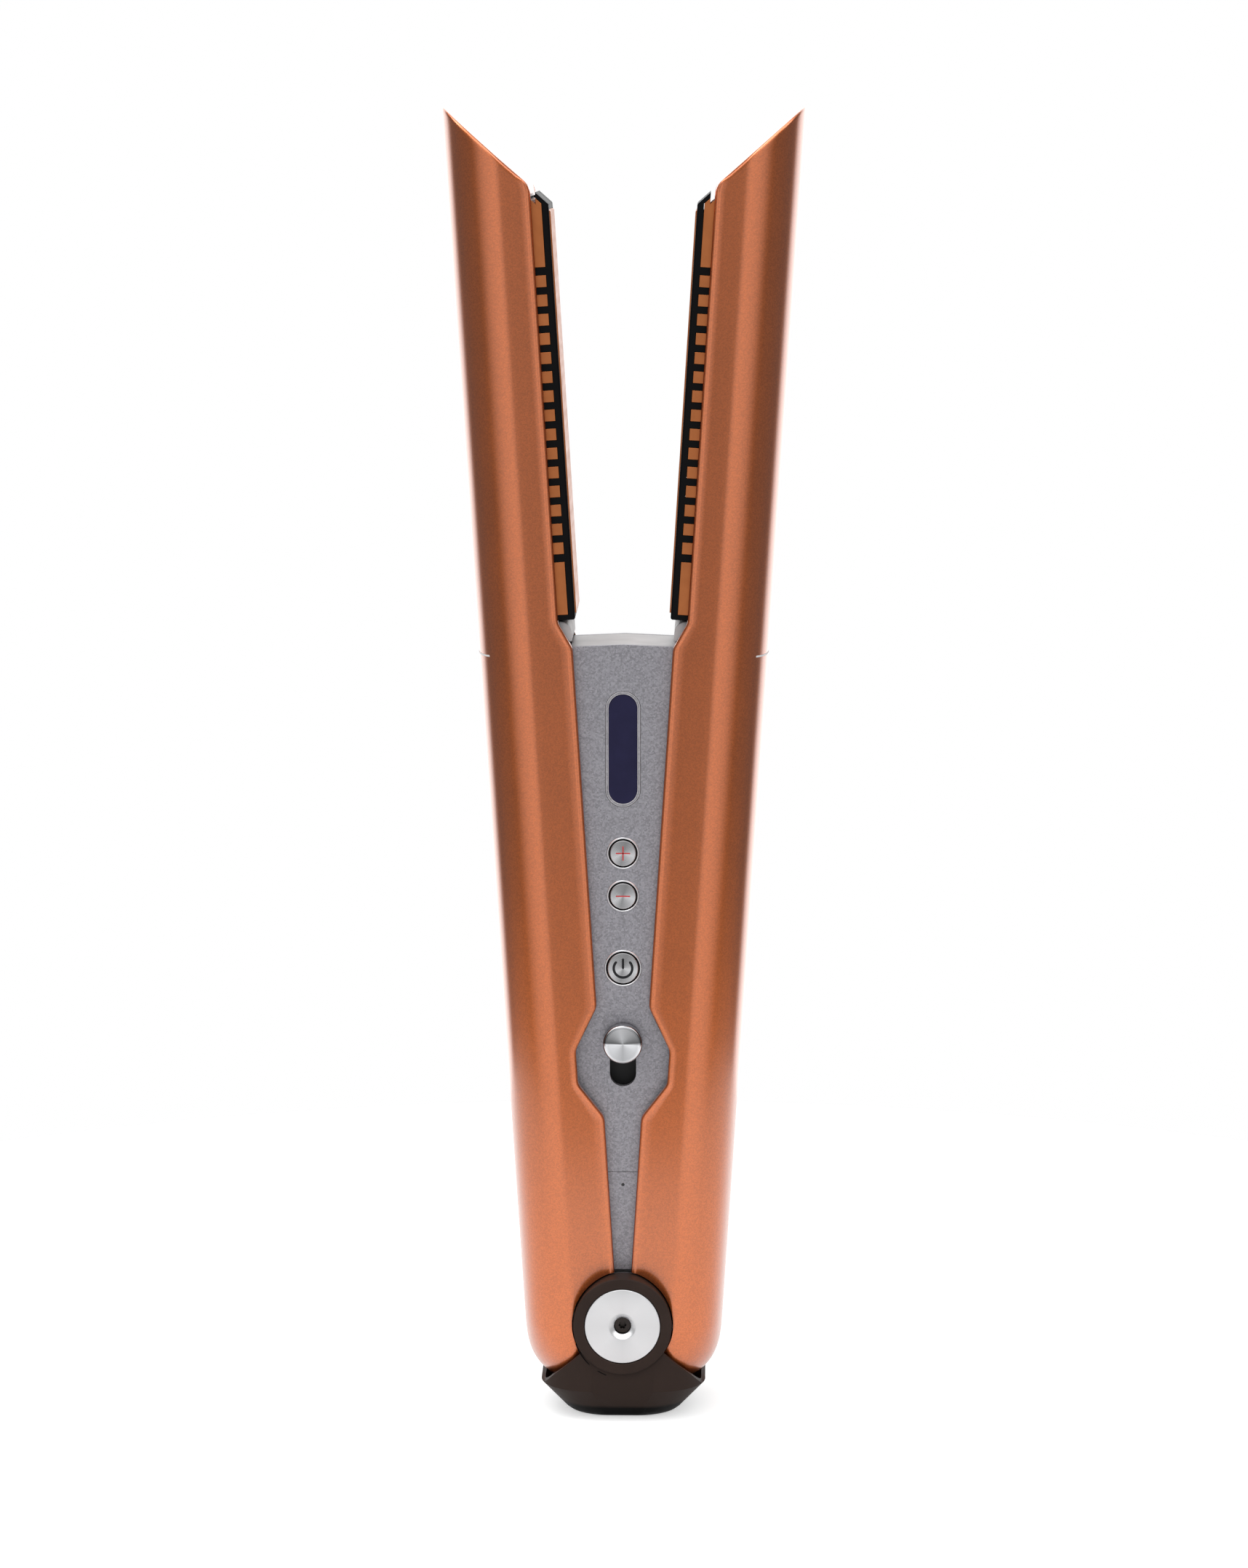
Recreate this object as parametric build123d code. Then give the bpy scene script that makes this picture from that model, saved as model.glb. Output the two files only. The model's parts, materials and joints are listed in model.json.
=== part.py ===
from build123d import *
import os
from math import cos, radians, sin, sqrt

# Cordless flat iron: two sprung copper arms on one hub, with a grey control spine between them.
#
# The part stands open on its base cap. Origin: middle of the cap's flat underside. +Z is up, the hub
# axis lies along Y, and the control panel faces -Y. Each arm is drawn closed, on the +X side, with the
# hub axis at its own origin, and is then swung open about the hub. All sizes are in millimetres.

# ---- driving dimensions -------------------------------------------------------------------------
HUB_Z = 22.4            # height of the hub axis
OPEN_DEG = 3.6          # each arm's swing from closed to open

# arm shell, drawn closed (x from the middle plane, z from the hub axis)
OUT_HUB = 22.68         # outer half width at the hub
OUT_TIP = 23.05         # outer half width at the tip
NOSE_H = 251.3          # where the 45 degree end would meet the middle plane
TIP_H = NOSE_H + OUT_TIP    # height of the tip's point
ARM_DEPTH = 18.0        # half depth at the crease
CREASE_HUB = 11.2       # crease position at the hub
CREASE_TIP = 11.4       # crease position at the tip
FACET_SLOPE = 0.39      # depth lost per millimetre from the crease to the lip
BACK_FULLNESS = 0.68    # how boxy the back is: 0.55 would be an ellipse, and 1 a corner
WALL = 1.7              # shell wall
HEEL_DROP = 17.4        # drop of the superellipse that closes the arm below the hub
HEEL_DEPTH_DROP = 18.4  # the same for the arm's depth
HEEL_CUT = 15.0         # where the arm's lower end stops below the hub
HEEL_SECTIONS = (0, 3, 6, 9, 12)    # depths below the hub that the heel is lofted through
HEEL_FULLNESS = 0.5     # the heel's corners round off to this
HUB_CLEAR_X = 8.6       # the heel starts this far from the middle plane
RING_CLEAR = 0.35       # room round the hub ring
POST_HEIGHTS = (16.0, 34.0)     # screw posts that hold the bracket
POST_R = 2.4
SCREW_HOLE_R = 0.9
FAR = 40.0              # beyond every face, for cuts that run right through

# lip edge, as (x, height above the hub); the front one opens round the lock
LIP_LOW = [(1.2, -30), (1.15, 47.2)]
LIP_BULGE = [(6.5, 55.5), (6.5, 63.4), (1.3, 72.4)]
LIP_REAR_LOW = [(1.2, -30), (1.3, 72.4)]
LIP_HIGH = [(1.45, 153.4), (4.3, 159.4), (4.25, 300)]
BEND_R = 3.4            # S-bends round the lock
SHOULDER_R = 3.0        # bends below the plate
REAR_BEND_R = 60.0

# liner of the arm
COVER_LOW = 22.0
COVER_HIGH = 154.8
COVER_GAP = 0.6         # from the spine's side to the liner
COVER_WALL = 1.4
COVER_DEPTH = 12.1
SHOULDER_STEP = 4.6     # rise of the shoulder below the plate

# hinge bracket and its screws
BRACKET_IN = 13.6
BRACKET_OUT = 16.4
BRACKET_HALF_Y = 6.3
BRACKET_LOW = -4.0
BRACKET_HIGH = 40.0
WEB_HIGH = 9.5

# cells, each (low, high, inner x)
CELLS = ((46.0, 96.0, 10.6), (99.0, 149.0, 13.6))
CELL_T = 5.3
CELL_HALF_Y = 9.2

# plate tray and springs
SPRING_HEIGHTS = (172.0, 200.0, 228.0)
TRAY_IN = 8.85
TRAY_OUT = 10.25
TRAY_HIGH = 238.0
CUP_R = 3.4
CUP_WALL = 0.7
SPRING_R = 2.0
SPRING_LENGTH = 4.5
SPRING_WIRE = 0.3

# spine and panels (x is a half width that grows with height)
SPINE_HALF = 2.9        # half width extrapolated to the hub axis
SPINE_TAPER = 0.0577    # half width gained per millimetre of height
SPINE_TOP = 174.6
PANEL_FACE = 11.9       # panel faces lie this far from the middle plane
PANEL_T = 1.8
SPINE_DEPTH = PANEL_FACE - PANEL_T
SPINE_WALL = 1.4
PANEL_ARCH = 0.5        # rise of the panel's top edge

# controls, all on the panel's centre line
DISPLAY_Z = 152.7
DISPLAY_HALF_W = 3.2
DISPLAY_HALF_H = 12.3
BEZEL_W = 0.75
PLUS_Z = 129.2
MINUS_Z = 119.5
POWER_Z = 103.1
SMALL_BUTTON_R = 2.95
POWER_BUTTON_R = 3.5
RIM_GAP = 0.3           # dark gap round a button
RIM_W = 0.35            # collar round a button
BUTTON_RISE = 0.15      # button face in front of the panel
KNOB_Z = 86.5
KNOB_R = 4.4
SLOT_HALF = 2.95
SLOT_LOW = 76.1
LIGHT_Z = 53.4
LIGHT_R = 0.35
BULGE_HALF = 10.8       # widest part of the panel round the lock
KNOB_FACE = 16.4        # lock knob's face and foot from the middle plane
KNOB_FOOT = 12.3
KNOB_DISH_R = 18.0
KNOB_DISH_DEEP = 0.4
BOARD_FACE = -7.5
BOARD_BACK = -6.1
SWITCH_TOP = -8.9
BUTTONS = ((PLUS_Z, SMALL_BUTTON_R), (MINUS_Z, SMALL_BUTTON_R), (POWER_Z, POWER_BUTTON_R))

# hub
RING_R = 11.1
RING_FACE = 19.4
DISC_R = 8.6
BOSS_R = 10.6
BOSS_FACE = 13.8
BOSS_BACK = 8.8
AXLE_R = 4.0
KNUCKLE_R = 7.4
RUN_CLEAR = 0.05        # radial running clearance on the axle
KNUCKLES = ((-3.1, -0.15), (3.4, 6.3))

# base cap
CAP_HALF = 18.7
CAP_DEPTH = 18.6
CAP_CORNER = 12.0
CAP_RIM_Z = 6.9         # lowest part of the rim
CAP_RIM_DEPTH = 18.3
CAP_EDGE_Z = 0.9        # top of the rounded lower edge
CAP_EDGE_HALF = 13.3
CAP_EDGE_DEPTH = 14.3
CAP_FLAT_HALF = 12.5
CAP_FLAT_DEPTH = 13.1
CAP_FLAT_CORNER = 9.5
CAP_WALL = 0.9
CAP_FLOOR = 1.3
CAP_RIM = ((9.4, 15.8), (15.6, 9.9), (17.8, 7.2))      # V-shaped rim, as (x, z)

# plates, drawn closed like the arm
PLATE_FACE = 0.2        # plate face from the middle plane
PLATE_T = 0.8
PLATE_DEPTH = 11.9
FRAME_EDGE = 0.5
FRAME_BACK = 6.95
FRAME_DEPTH = 13.1
FRAME_LOW = 159.8
BAR_COUNT = 15
BAR_PITCH = 4.2
BAR_SIZE = 2.56
BAR_LOW = 174.5         # underside of the lowest bar
BAR_IN = 2.05
BAR_OUT = 4.4
SLOT_CLEAR = 0.08       # round each bar in its slot
END_CLEAR = 3.2         # the plate stays this far below the slanted end's plane at the lip
LIP_ROOM_X = 3.3
HEATER_IN = 4.5
HEATER_OUT = 5.3
SENSOR_H = 205.0


# ---- helpers ------------------------------------------------------------------------------------
def prism(points, y_low, y_high, corner=0):
    """Solid between two depths from an outline in the XZ plane; corner rounds every vertex."""
    face = make_face(Polyline(*points, close=True))
    if corner:
        face = fillet(face.vertices(), corner)
    return extrude(Plane.XZ.offset(-y_high) * face, y_high - y_low)


def pin(radius, y_low, y_high, x=0.0, z=0.0):
    """Cylinder along Y."""
    return Pos(x, (y_low + y_high) / 2, z) * Rot(90, 0, 0) * Cylinder(radius, y_high - y_low)


def block(x_low, x_high, y_low, y_high, z_low, z_high):
    """Box from its limits."""
    middle = ((x_low + x_high) / 2, (y_low + y_high) / 2, (z_low + z_high) / 2)
    return Pos(*middle) * Box(x_high - x_low, y_high - y_low, z_high - z_low)


def stadium(half_w, half_h, y_low, y_high, z):
    """Upright slot-shaped solid along Y."""
    outline = Rot(0, 0, 90) * SlotOverall(2 * half_h, 2 * half_w)
    return extrude(Plane.XZ.offset(-y_high) * Pos(0, z) * outline, y_high - y_low)


def both_faces(solid):
    """A piece of the front half and its copy on the rear half."""
    return solid, mirror(solid, Plane.XZ)


def spine_half(h):
    """Half width of the spine at a height above the hub."""
    return SPINE_HALF + SPINE_TAPER * h


def open_right(solid):
    """Swing a piece drawn closed to its open place on the +X side."""
    return Pos(0, 0, HUB_Z) * Rot(0, OPEN_DEG, 0) * solid


def open_left(solid):
    return mirror(open_right(solid), Plane.YZ)


def turned_left(solid):
    """The other arm's piece where it is turned half round instead of mirrored."""
    return Rot(0, 0, 180) * open_right(solid)


# ---- arm shell ----------------------------------------------------------------------------------
def arm_section(h, out, crease, depth, x_low, fullness=BACK_FULLNESS):
    """Arm cross-section: two facets from the lips to the creases, and a round back between them."""
    lip_y = depth - FACET_SLOPE * (crease - x_low)
    handle_x = crease + fullness * (out - crease)
    handle_y = fullness * depth
    front = Bezier((crease, -depth), (handle_x, -depth), (out, -handle_y), (out, 0))
    back = Bezier((out, 0), (out, handle_y), (handle_x, depth), (crease, depth))
    outline = [
        Line((x_low, -lip_y), front @ 0),
        front,
        back,
        Line(back @ 1, (x_low, lip_y)),
        Line((x_low, lip_y), (x_low, -lip_y)),
    ]
    return Plane.XY.offset(h) * make_face(outline)


def arm_body(inset, x_low, top):
    """Closed body of the arm's outline, inset all round by a wall."""
    def straight(h):
        share = h / TIP_H
        out = OUT_HUB + (OUT_TIP - OUT_HUB) * share - inset
        crease = CREASE_HUB + (CREASE_TIP - CREASE_HUB) * share
        return arm_section(h, out, crease, ARM_DEPTH - inset, x_low)

    def heel(h):
        width = (1 - (h / HEEL_DROP) ** 3) ** (1 / 3)
        depth = sqrt(1 - (h / HEEL_DEPTH_DROP) ** 2)
        section = (OUT_HUB * width - inset, CREASE_HUB * width, ARM_DEPTH * depth - inset)
        rounder = (BACK_FULLNESS - HEEL_FULLNESS) * (1 - h / HEEL_CUT) ** 2
        return arm_section(-h, *section, x_low, HEEL_FULLNESS + rounder)

    upper = loft([straight(0), straight(top)], ruled=True)
    lower = loft([heel(h) for h in (*HEEL_SECTIONS, HEEL_CUT - inset)])
    return upper + lower


def lip_cut(bulged, y_low, y_high):
    """What is cut off inside the lip: straight runs joined by round S-bends."""
    if bulged:
        path = LIP_LOW + LIP_BULGE + LIP_HIGH
        radii = [BEND_R] * 4 + [SHOULDER_R] * 2
    else:
        path = LIP_REAR_LOW + LIP_HIGH
        radii = [REAR_BEND_R] + [SHOULDER_R] * 2
    edge = FilletPolyline(*path, radius=radii)
    start, end = path[0], path[-1]
    rest = Polyline(end, (-FAR, end[1]), (-FAR, start[1]), start)
    return extrude(Plane.XZ.offset(-y_high) * make_face([edge, rest]), y_high - y_low)


def beyond_nose(offset):
    """Everything above the slanted end, which rises 45 degrees outwards."""
    low = NOSE_H + offset
    return prism([(-FAR, low - FAR), (2 * FAR, low + 2 * FAR), (-FAR, low + 2 * FAR)], -FAR, FAR)


def arm_shell():
    top = TIP_H + 6
    shell = arm_body(0, -1, top) - beyond_nose(0)
    shell -= lip_cut(True, -FAR, 0) + lip_cut(False, 0, FAR)
    cavity = arm_body(WALL, -3, top) - beyond_nose(-WALL / cos(radians(45)))
    shell -= cavity
    shell -= pin(RING_R + RING_CLEAR, -FAR, FAR)
    shell -= block(-5, HUB_CLEAR_X, -FAR, FAR, -FAR, 0)
    for h in POST_HEIGHTS:
        post = Pos(19.3, 0, h) * Rot(0, 90, 0) * Cylinder(POST_R, 5.0)
        hole = Pos(18.6, 0, h) * Rot(0, 90, 0) * Cylinder(SCREW_HOLE_R, 4.4)
        shell += post & arm_body(0.4, -3, top)
        shell -= hole
    return shell


def inner_cover():
    """Liner that the spine swings past, with the shoulder that closes the arm below the plate."""
    low, high = COVER_LOW, COVER_HIGH
    liner = [
        (spine_half(low) + COVER_GAP, low),
        (spine_half(high) + COVER_GAP, high),
        (spine_half(high) + COVER_GAP + COVER_WALL, high),
        (spine_half(low) + COVER_GAP + COVER_WALL, low),
    ]
    cover = prism(liner, -9.4, COVER_DEPTH)
    step = high + SHOULDER_STEP
    profile = [(1.55, high), (15.7, high), (15.7, high + 2), (5.8, high + 2), (5.8, step), (1.55, step)]
    shoulder = prism(profile, -COVER_DEPTH, COVER_DEPTH)
    edge = shoulder.edges().filter_by(Axis.Y).sort_by(Axis.X)[:2].sort_by(Axis.Z)[-1]
    return cover + fillet(edge, 2.4)


def hinge_bracket():
    """Knuckles on the axle, joined to a plate that carries the shell."""
    bracket = block(BRACKET_IN, BRACKET_OUT, -BRACKET_HALF_Y, BRACKET_HALF_Y, BRACKET_LOW, BRACKET_HIGH)
    meet = BRACKET_IN + 0.1
    web = [(0, -KNUCKLE_R), (meet, BRACKET_LOW), (meet, WEB_HIGH), (0, KNUCKLE_R - 1)]
    for y_low, y_high in KNUCKLES:
        bracket += pin(KNUCKLE_R, y_low, y_high) + prism(web, y_low, y_high)
    bracket -= pin(AXLE_R + RUN_CLEAR, -FAR, FAR)
    for h in POST_HEIGHTS:
        bracket -= Pos(15, 0, h) * Rot(0, 90, 0) * Cylinder(1.15, 6)
    return bracket


def bracket_screws():
    screws = []
    for h in POST_HEIGHTS:
        head = Pos(12.9, 0, h) * Rot(0, 90, 0) * Cylinder(2.0, 1.3)
        shank = Pos(16.6, 0, h) * Rot(0, 90, 0) * Cylinder(0.85, 6.2)
        socket = Pos(12.6, 0, h) * Rot(0, 90, 0) * extrude(RegularPolygon(0.9, 6), 0.8, both=True)
        screws.append(head + shank - socket)
    return screws


def battery_cells():
    """Two flat cells stacked along the arm, each with a folded top seal."""
    cells = []
    for low, high, x_low in CELLS:
        cell = block(x_low, x_low + CELL_T, -CELL_HALF_Y, CELL_HALF_Y, low, high)
        cell = fillet(cell.edges().filter_by(Axis.Z), 2.0)
        seal = block(x_low + 1.8, x_low + 2.6, -8.0, 8.0, high - 0.1, high + 1.6)
        cells.append(cell + seal)
    return cells


def plate_tray():
    """Heat-resistant tray behind the floating plate, with three spring cups."""
    tray = block(TRAY_IN, TRAY_OUT, -COVER_DEPTH, COVER_DEPTH, FRAME_LOW + 2, TRAY_HIGH)
    for h in SPRING_HEIGHTS:
        cup = Pos(TRAY_IN + 2.2, 0, h) * Rot(0, 90, 0) * Cylinder(CUP_R, 4.4)
        well = Pos(TRAY_IN + 1.2, 0, h) * Rot(0, 90, 0) * Cylinder(CUP_R - CUP_WALL, 4.4)
        tray = tray + cup - well
    return tray


def plate_springs():
    """Three short coils that press the plate towards the other arm."""
    springs = []
    for h in SPRING_HEIGHTS:
        path = Helix(pitch=1.45, height=SPRING_LENGTH, radius=SPRING_R)
        start = Plane(path @ 0, z_dir=path % 0)
        coil = sweep(start * Circle(SPRING_WIRE), path=path)
        springs.append(Pos(TRAY_IN - 1.5, 0, h) * Rot(0, 90, 0) * coil)
    return springs


# ---- plates -------------------------------------------------------------------------------------
def bar_limits():
    """Heights of the flexing bars' undersides and tops, from the hub upwards."""
    return [(BAR_LOW + i * BAR_PITCH, BAR_LOW + i * BAR_PITCH + BAR_SIZE) for i in range(BAR_COUNT)]


def block_limits():
    """The long blocks below and above the bars; the upper one runs into the slanted nose."""
    bars_top = BAR_LOW + (BAR_COUNT - 1) * BAR_PITCH + BAR_SIZE
    return [(FRAME_LOW + 1.2, BAR_LOW - 1.8), (bars_top + 1.8, NOSE_H + BAR_OUT)]


def shell_end():
    """Room that the shell's closed end needs behind the lip."""
    return beyond_nose(-END_CLEAR) & block(LIP_ROOM_X, 60, -FAR, FAR, 0, 400)


def plate():
    """One sheet with a smooth face, and bars behind it whose ends show along both sides."""
    face = block(PLATE_FACE, PLATE_FACE + PLATE_T, -PLATE_DEPTH, PLATE_DEPTH, FRAME_LOW + 1.4, NOSE_H)
    nose = [edge for edge in face.edges().filter_by(Axis.Y) if (edge @ 0.5).Z > NOSE_H - 1]
    face = fillet(nose, 0.35)
    solid = face
    for low, high in bar_limits() + block_limits():
        web = block(PLATE_FACE + PLATE_T - 0.1, BAR_OUT, -9.6, 9.6, low, min(high, NOSE_H - 1.5))
        bar = block(BAR_IN, BAR_OUT, -FRAME_DEPTH - 0.1, FRAME_DEPTH + 0.1, low, high)
        solid += web + bar
    return solid - beyond_nose(-1.9) - shell_end()


def plate_frame():
    """Black carrier: a rounded bar with side slots for the plate's bars and a well for the heater."""
    frame = block(FRAME_EDGE, FRAME_BACK, -FRAME_DEPTH, FRAME_DEPTH, FRAME_LOW, NOSE_H + 12)
    frame -= beyond_nose(-0.6) + shell_end()
    inner = [e for e in frame.edges() if e.center().X < FRAME_EDGE + 0.01]
    frame = fillet(inner, 0.5)
    frame -= block(FRAME_EDGE - 1, FRAME_BACK + 1, -10.0, 10.0, FRAME_LOW + 1.0, NOSE_H - 1.2)
    rebate_y = PLATE_DEPTH + SLOT_CLEAR
    rebate = block(-1, PLATE_FACE + PLATE_T + SLOT_CLEAR, -rebate_y, rebate_y, FRAME_LOW + 1.3, NOSE_H)
    frame -= rebate - beyond_nose(-1.8)
    for low, high in bar_limits() + block_limits():
        slot = block(BAR_IN - SLOT_CLEAR, BAR_OUT + SLOT_CLEAR, -FAR, FAR,
                     low - SLOT_CLEAR, high + SLOT_CLEAR)
        frame -= slot - beyond_nose(-1.8)
    return frame


def heater():
    """Flat ceramic heater behind the bars, with its two lead tags."""
    pad = block(HEATER_IN, HEATER_OUT, -8.8, 8.8, FRAME_LOW + 3.0, NOSE_H - 8)
    tag_x = (HEATER_IN + 0.1, HEATER_OUT - 0.1)
    tags = [block(*tag_x, y - 1, y + 1, FRAME_LOW + 1.2, FRAME_LOW + 3.2) for y in (-5, 5)]
    return pad + tags[0] + tags[1]


def heat_insulator():
    pad = block(HEATER_OUT + 0.05, FRAME_BACK - 0.1, -9.9, 9.9, FRAME_LOW + 1.2, NOSE_H - 2)
    return pad - Pos(5.85, 0, SENSOR_H) * Rot(0, 90, 0) * Cylinder(1.3, 3.2)


def temperature_sensor():
    bead = Pos(6.08, 0, SENSOR_H) * Sphere(0.7)
    return bead + Pos(6.55, 0, SENSOR_H) * Rot(0, 90, 0) * Cylinder(0.35, 0.7)


# ---- spine --------------------------------------------------------------------------------------
def spine_outline(low, high, inset=0.0, rise=0.0):
    """Tapering outline between two heights above the hub, with its top edge raised in the middle."""
    a = spine_half(low) - inset
    b = spine_half(high) - inset
    peak = [(0, high + rise)] if rise else []
    return [(-a, low), (a, low), (b, high), *peak, (-b, high)]


def spine_frame():
    """Tapering box, open to the front, with two hub bosses and a foot for the base cap."""
    top = SPINE_TOP - HUB_Z
    shell = prism(spine_outline(BOSS_BACK, top), -SPINE_DEPTH, SPINE_DEPTH)
    room = prism(spine_outline(14.0, top - SPINE_WALL, SPINE_WALL), -FAR, SPINE_DEPTH - SPINE_WALL)
    frame = shell - room
    for y_low, y_high in ((-BOSS_FACE, -BOSS_BACK), (BOSS_BACK, BOSS_FACE)):
        frame += pin(BOSS_R, y_low, y_high)
    foot_low = CAP_FLOOR - HUB_Z
    frame += prism([(-5.5, foot_low), (5.5, foot_low), (7.0, -8.0), (-7.0, -8.0)], -11.0, 11.0)
    frame -= pin(KNUCKLE_R + 0.6, -BOSS_BACK, BOSS_BACK)
    frame -= pin(AXLE_R, -FAR, FAR)
    return Pos(0, 0, HUB_Z) * frame


def panel_blank():
    """Panel plate: the spine's taper widened round the lock."""
    low, high = RING_R + 0.3, SPINE_TOP - HUB_Z + 1.0
    plate_outline = prism(spine_outline(low, high, 0.1, PANEL_ARCH), -PANEL_FACE, -SPINE_DEPTH)
    plate_outline -= pin(RING_R + 0.25, -FAR, FAR)
    side = [(4.0, 43.0), (BULGE_HALF, 53.6), (BULGE_HALF, 65.0), (4.6, 76.0)]
    other_side = [(-x, h) for x, h in reversed(side)]
    return plate_outline, prism(side + other_side, -PANEL_FACE, -SPINE_DEPTH, 2.4)


def collar_radius(button_r):
    return button_r + RIM_GAP + RIM_W


def front_panel():
    taper, bulge = panel_blank()
    panel = Pos(0, 0, HUB_Z) * (taper + bulge)
    bezel = (DISPLAY_HALF_W + BEZEL_W, DISPLAY_HALF_H + BEZEL_W)
    panel -= stadium(*bezel, -FAR, 0, DISPLAY_Z)
    for z, r in BUTTONS:
        panel -= pin(collar_radius(r), -FAR, 0, 0, z)
    slot_high = KNOB_Z + SLOT_HALF
    slot_mid = (SLOT_LOW + slot_high) / 2
    panel -= stadium(SLOT_HALF, slot_high - slot_mid, -FAR, 0, slot_mid)
    return panel - pin(LIGHT_R + 0.02, -FAR, 0, 0, LIGHT_Z)


def rear_panel():
    taper, _ = panel_blank()
    return Pos(0, 0, HUB_Z) * mirror(taper, Plane.XZ)


def spine_top_cap():
    """Arched lid over the spine's top, between the two panels."""
    low = SPINE_TOP - HUB_Z
    lid = prism(spine_outline(low, low + 1.0, 0.1, PANEL_ARCH), -SPINE_DEPTH, SPINE_DEPTH)
    return Pos(0, 0, HUB_Z) * lid


def display_bezel():
    outer = stadium(DISPLAY_HALF_W + BEZEL_W, DISPLAY_HALF_H + BEZEL_W, -PANEL_FACE - 0.12,
                    -SPINE_DEPTH, DISPLAY_Z)
    ring = outer - stadium(DISPLAY_HALF_W, DISPLAY_HALF_H, -FAR, 0, DISPLAY_Z)
    rim = [e for e in ring.edges() if abs(e.center().Y + PANEL_FACE + 0.12) < 0.01]
    return chamfer(rim, 0.12)


def display_window():
    return stadium(DISPLAY_HALF_W, DISPLAY_HALF_H, -PANEL_FACE + 0.1, -SPINE_DEPTH - 0.6, DISPLAY_Z)


def display_module():
    glass = block(-3.6, 3.6, -9.9, -8.7, DISPLAY_Z - 12.6, DISPLAY_Z + 12.6)
    tail = block(-1.8, 1.8, -8.8, -7.6, DISPLAY_Z - 12.4, DISPLAY_Z - 8.0)
    return glass + tail


def control_board():
    """Tapering circuit board with its controller, charger and two inductors."""
    board = Pos(0, 0, HUB_Z) * prism(
        spine_outline(41.0, 148.0, SPINE_WALL + 0.4), BOARD_FACE, BOARD_BACK)
    chips = ((0, 140, 3.2, 4.0, 1.2), (0, 118, 2.4, 3.0, 1.2), (-1, 96, 1.6, 2.0, 2.4),
             (1, 84, 1.5, 2.4, 1.6))
    for x, z, half_w, half_h, height in chips:
        board += block(x - half_w, x + half_w, BOARD_BACK - 0.1, BOARD_BACK + height,
                       z - half_h, z + half_h)
    return board


def button_switches():
    """Three tact switches, each a square can with a round plunger."""
    switches = []
    for z, _ in BUTTONS:
        can = block(-2.2, 2.2, BOARD_FACE - 0.9, BOARD_FACE, z - 2.2, z + 2.2)
        switches.append(can + pin(1.0, SWITCH_TOP, BOARD_FACE - 0.8, 0, z))
    return switches


def button_collars():
    collars = []
    for z, r in BUTTONS:
        collar = pin(collar_radius(r), -PANEL_FACE - 0.1, -SPINE_DEPTH, 0, z)
        collar -= pin(r + RIM_GAP, -FAR, 0, 0, z)
        rim = [e for e in collar.edges() if e.center().Y < -PANEL_FACE]
        collars.append(chamfer(rim, 0.1))
    return collars


def button(radius, z):
    """Round cap with a softened edge, on a stem that reaches the switch."""
    cap = pin(radius, -PANEL_FACE - BUTTON_RISE, -PANEL_FACE + 1.3, 0, z)
    rim = [e for e in cap.edges() if e.center().Y < -PANEL_FACE]
    flange = pin(radius + 0.55, -SPINE_DEPTH + 0.1, -SPINE_DEPTH + 0.45, 0, z)
    stem = pin(1.3, -PANEL_FACE + 1.2, SWITCH_TOP - 0.55, 0, z)
    return fillet(rim, 0.25) + flange + stem


def charge_light():
    lens = pin(LIGHT_R, -PANEL_FACE + 0.1, -SPINE_DEPTH, 0, LIGHT_Z)
    return lens + pin(1.4, -SPINE_DEPTH, -SPINE_DEPTH + 1.5, 0, LIGHT_Z)


def lock_knob():
    """Low round knob with a dished face, on a stem that runs in the slot."""
    knob = pin(KNOB_R, -KNOB_FACE, -KNOB_FOOT, 0, KNOB_Z)
    knob = fillet(knob.edges().group_by(Axis.Y)[0], 0.7)
    knob = fillet(knob.edges().group_by(Axis.Y)[-1], 0.4)
    knob += pin(2.55, -KNOB_FOOT - 0.1, -9.4, 0, KNOB_Z)
    dish = Pos(0, KNOB_DISH_DEEP - KNOB_FACE - KNOB_DISH_R, KNOB_Z) * Sphere(KNOB_DISH_R)
    return knob - dish


def lock_bar():
    """Bar behind the panel that hooks both arms when it is down."""
    bar = block(-3.6, 3.6, -9.3, -8.3, KNOB_Z - 5.0, KNOB_Z + 5.0)
    return bar + pin(1.6, -9.4, -9.2, 0, KNOB_Z)


def lock_rail():
    """Fixed guide that the lock bar runs on."""
    return block(-3.4, 3.4, -8.1, -7.6, KNOB_Z - 14.5, KNOB_Z + 6.5)


# ---- hub and base cap ---------------------------------------------------------------------------
def hub_axle():
    axle = pin(AXLE_R, -BOSS_FACE, BOSS_FACE)
    return Pos(0, 0, HUB_Z) * (axle - pin(1.1, -FAR, FAR))


def thrust_washers():
    washers = []
    for y in (-3.25, 0.0, 3.25):
        washer = pin(6.4, y - 0.09, y + 0.09) - pin(AXLE_R + 0.3, -FAR, FAR)
        washers.append(Pos(0, 0, HUB_Z) * washer)
    return washers


def torsion_spring():
    """Two turns of square-ended wire round the axle, with one leg against the spine."""
    path = Helix(pitch=0.95, height=1.15, radius=5.6)
    start = Plane(path @ 0, z_dir=path % 0)
    coil = sweep(start * Circle(0.4), path=path)
    return Pos(0, 0, HUB_Z) * Pos(0, -7.0, 0) * Rot(90, 0, 0) * coil


def hub_ring():
    ring = pin(RING_R, -RING_FACE, -BOSS_FACE) - pin(DISC_R + 0.05, -FAR, 0)
    rim = [e for e in ring.edges() if e.center().Y < -RING_FACE + 0.1]
    return Pos(0, 0, HUB_Z) * fillet(rim, 0.3)


def contact_disc():
    """Spun disc with a fine outer chamfer and a countersunk middle hole."""
    disc = pin(DISC_R, -RING_FACE + 0.1, -RING_FACE + 1.9)
    rim = [e for e in disc.edges() if e.center().Y < -RING_FACE + 0.2]
    disc = chamfer(rim, 0.2) - pin(1.9, -FAR, 0)
    cone = Pos(0, -RING_FACE + 0.1, 0) * Rot(90, 0, 0) * Cone(1.8, 3.4, 1.6)
    return Pos(0, 0, HUB_Z) * (disc - cone)


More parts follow.
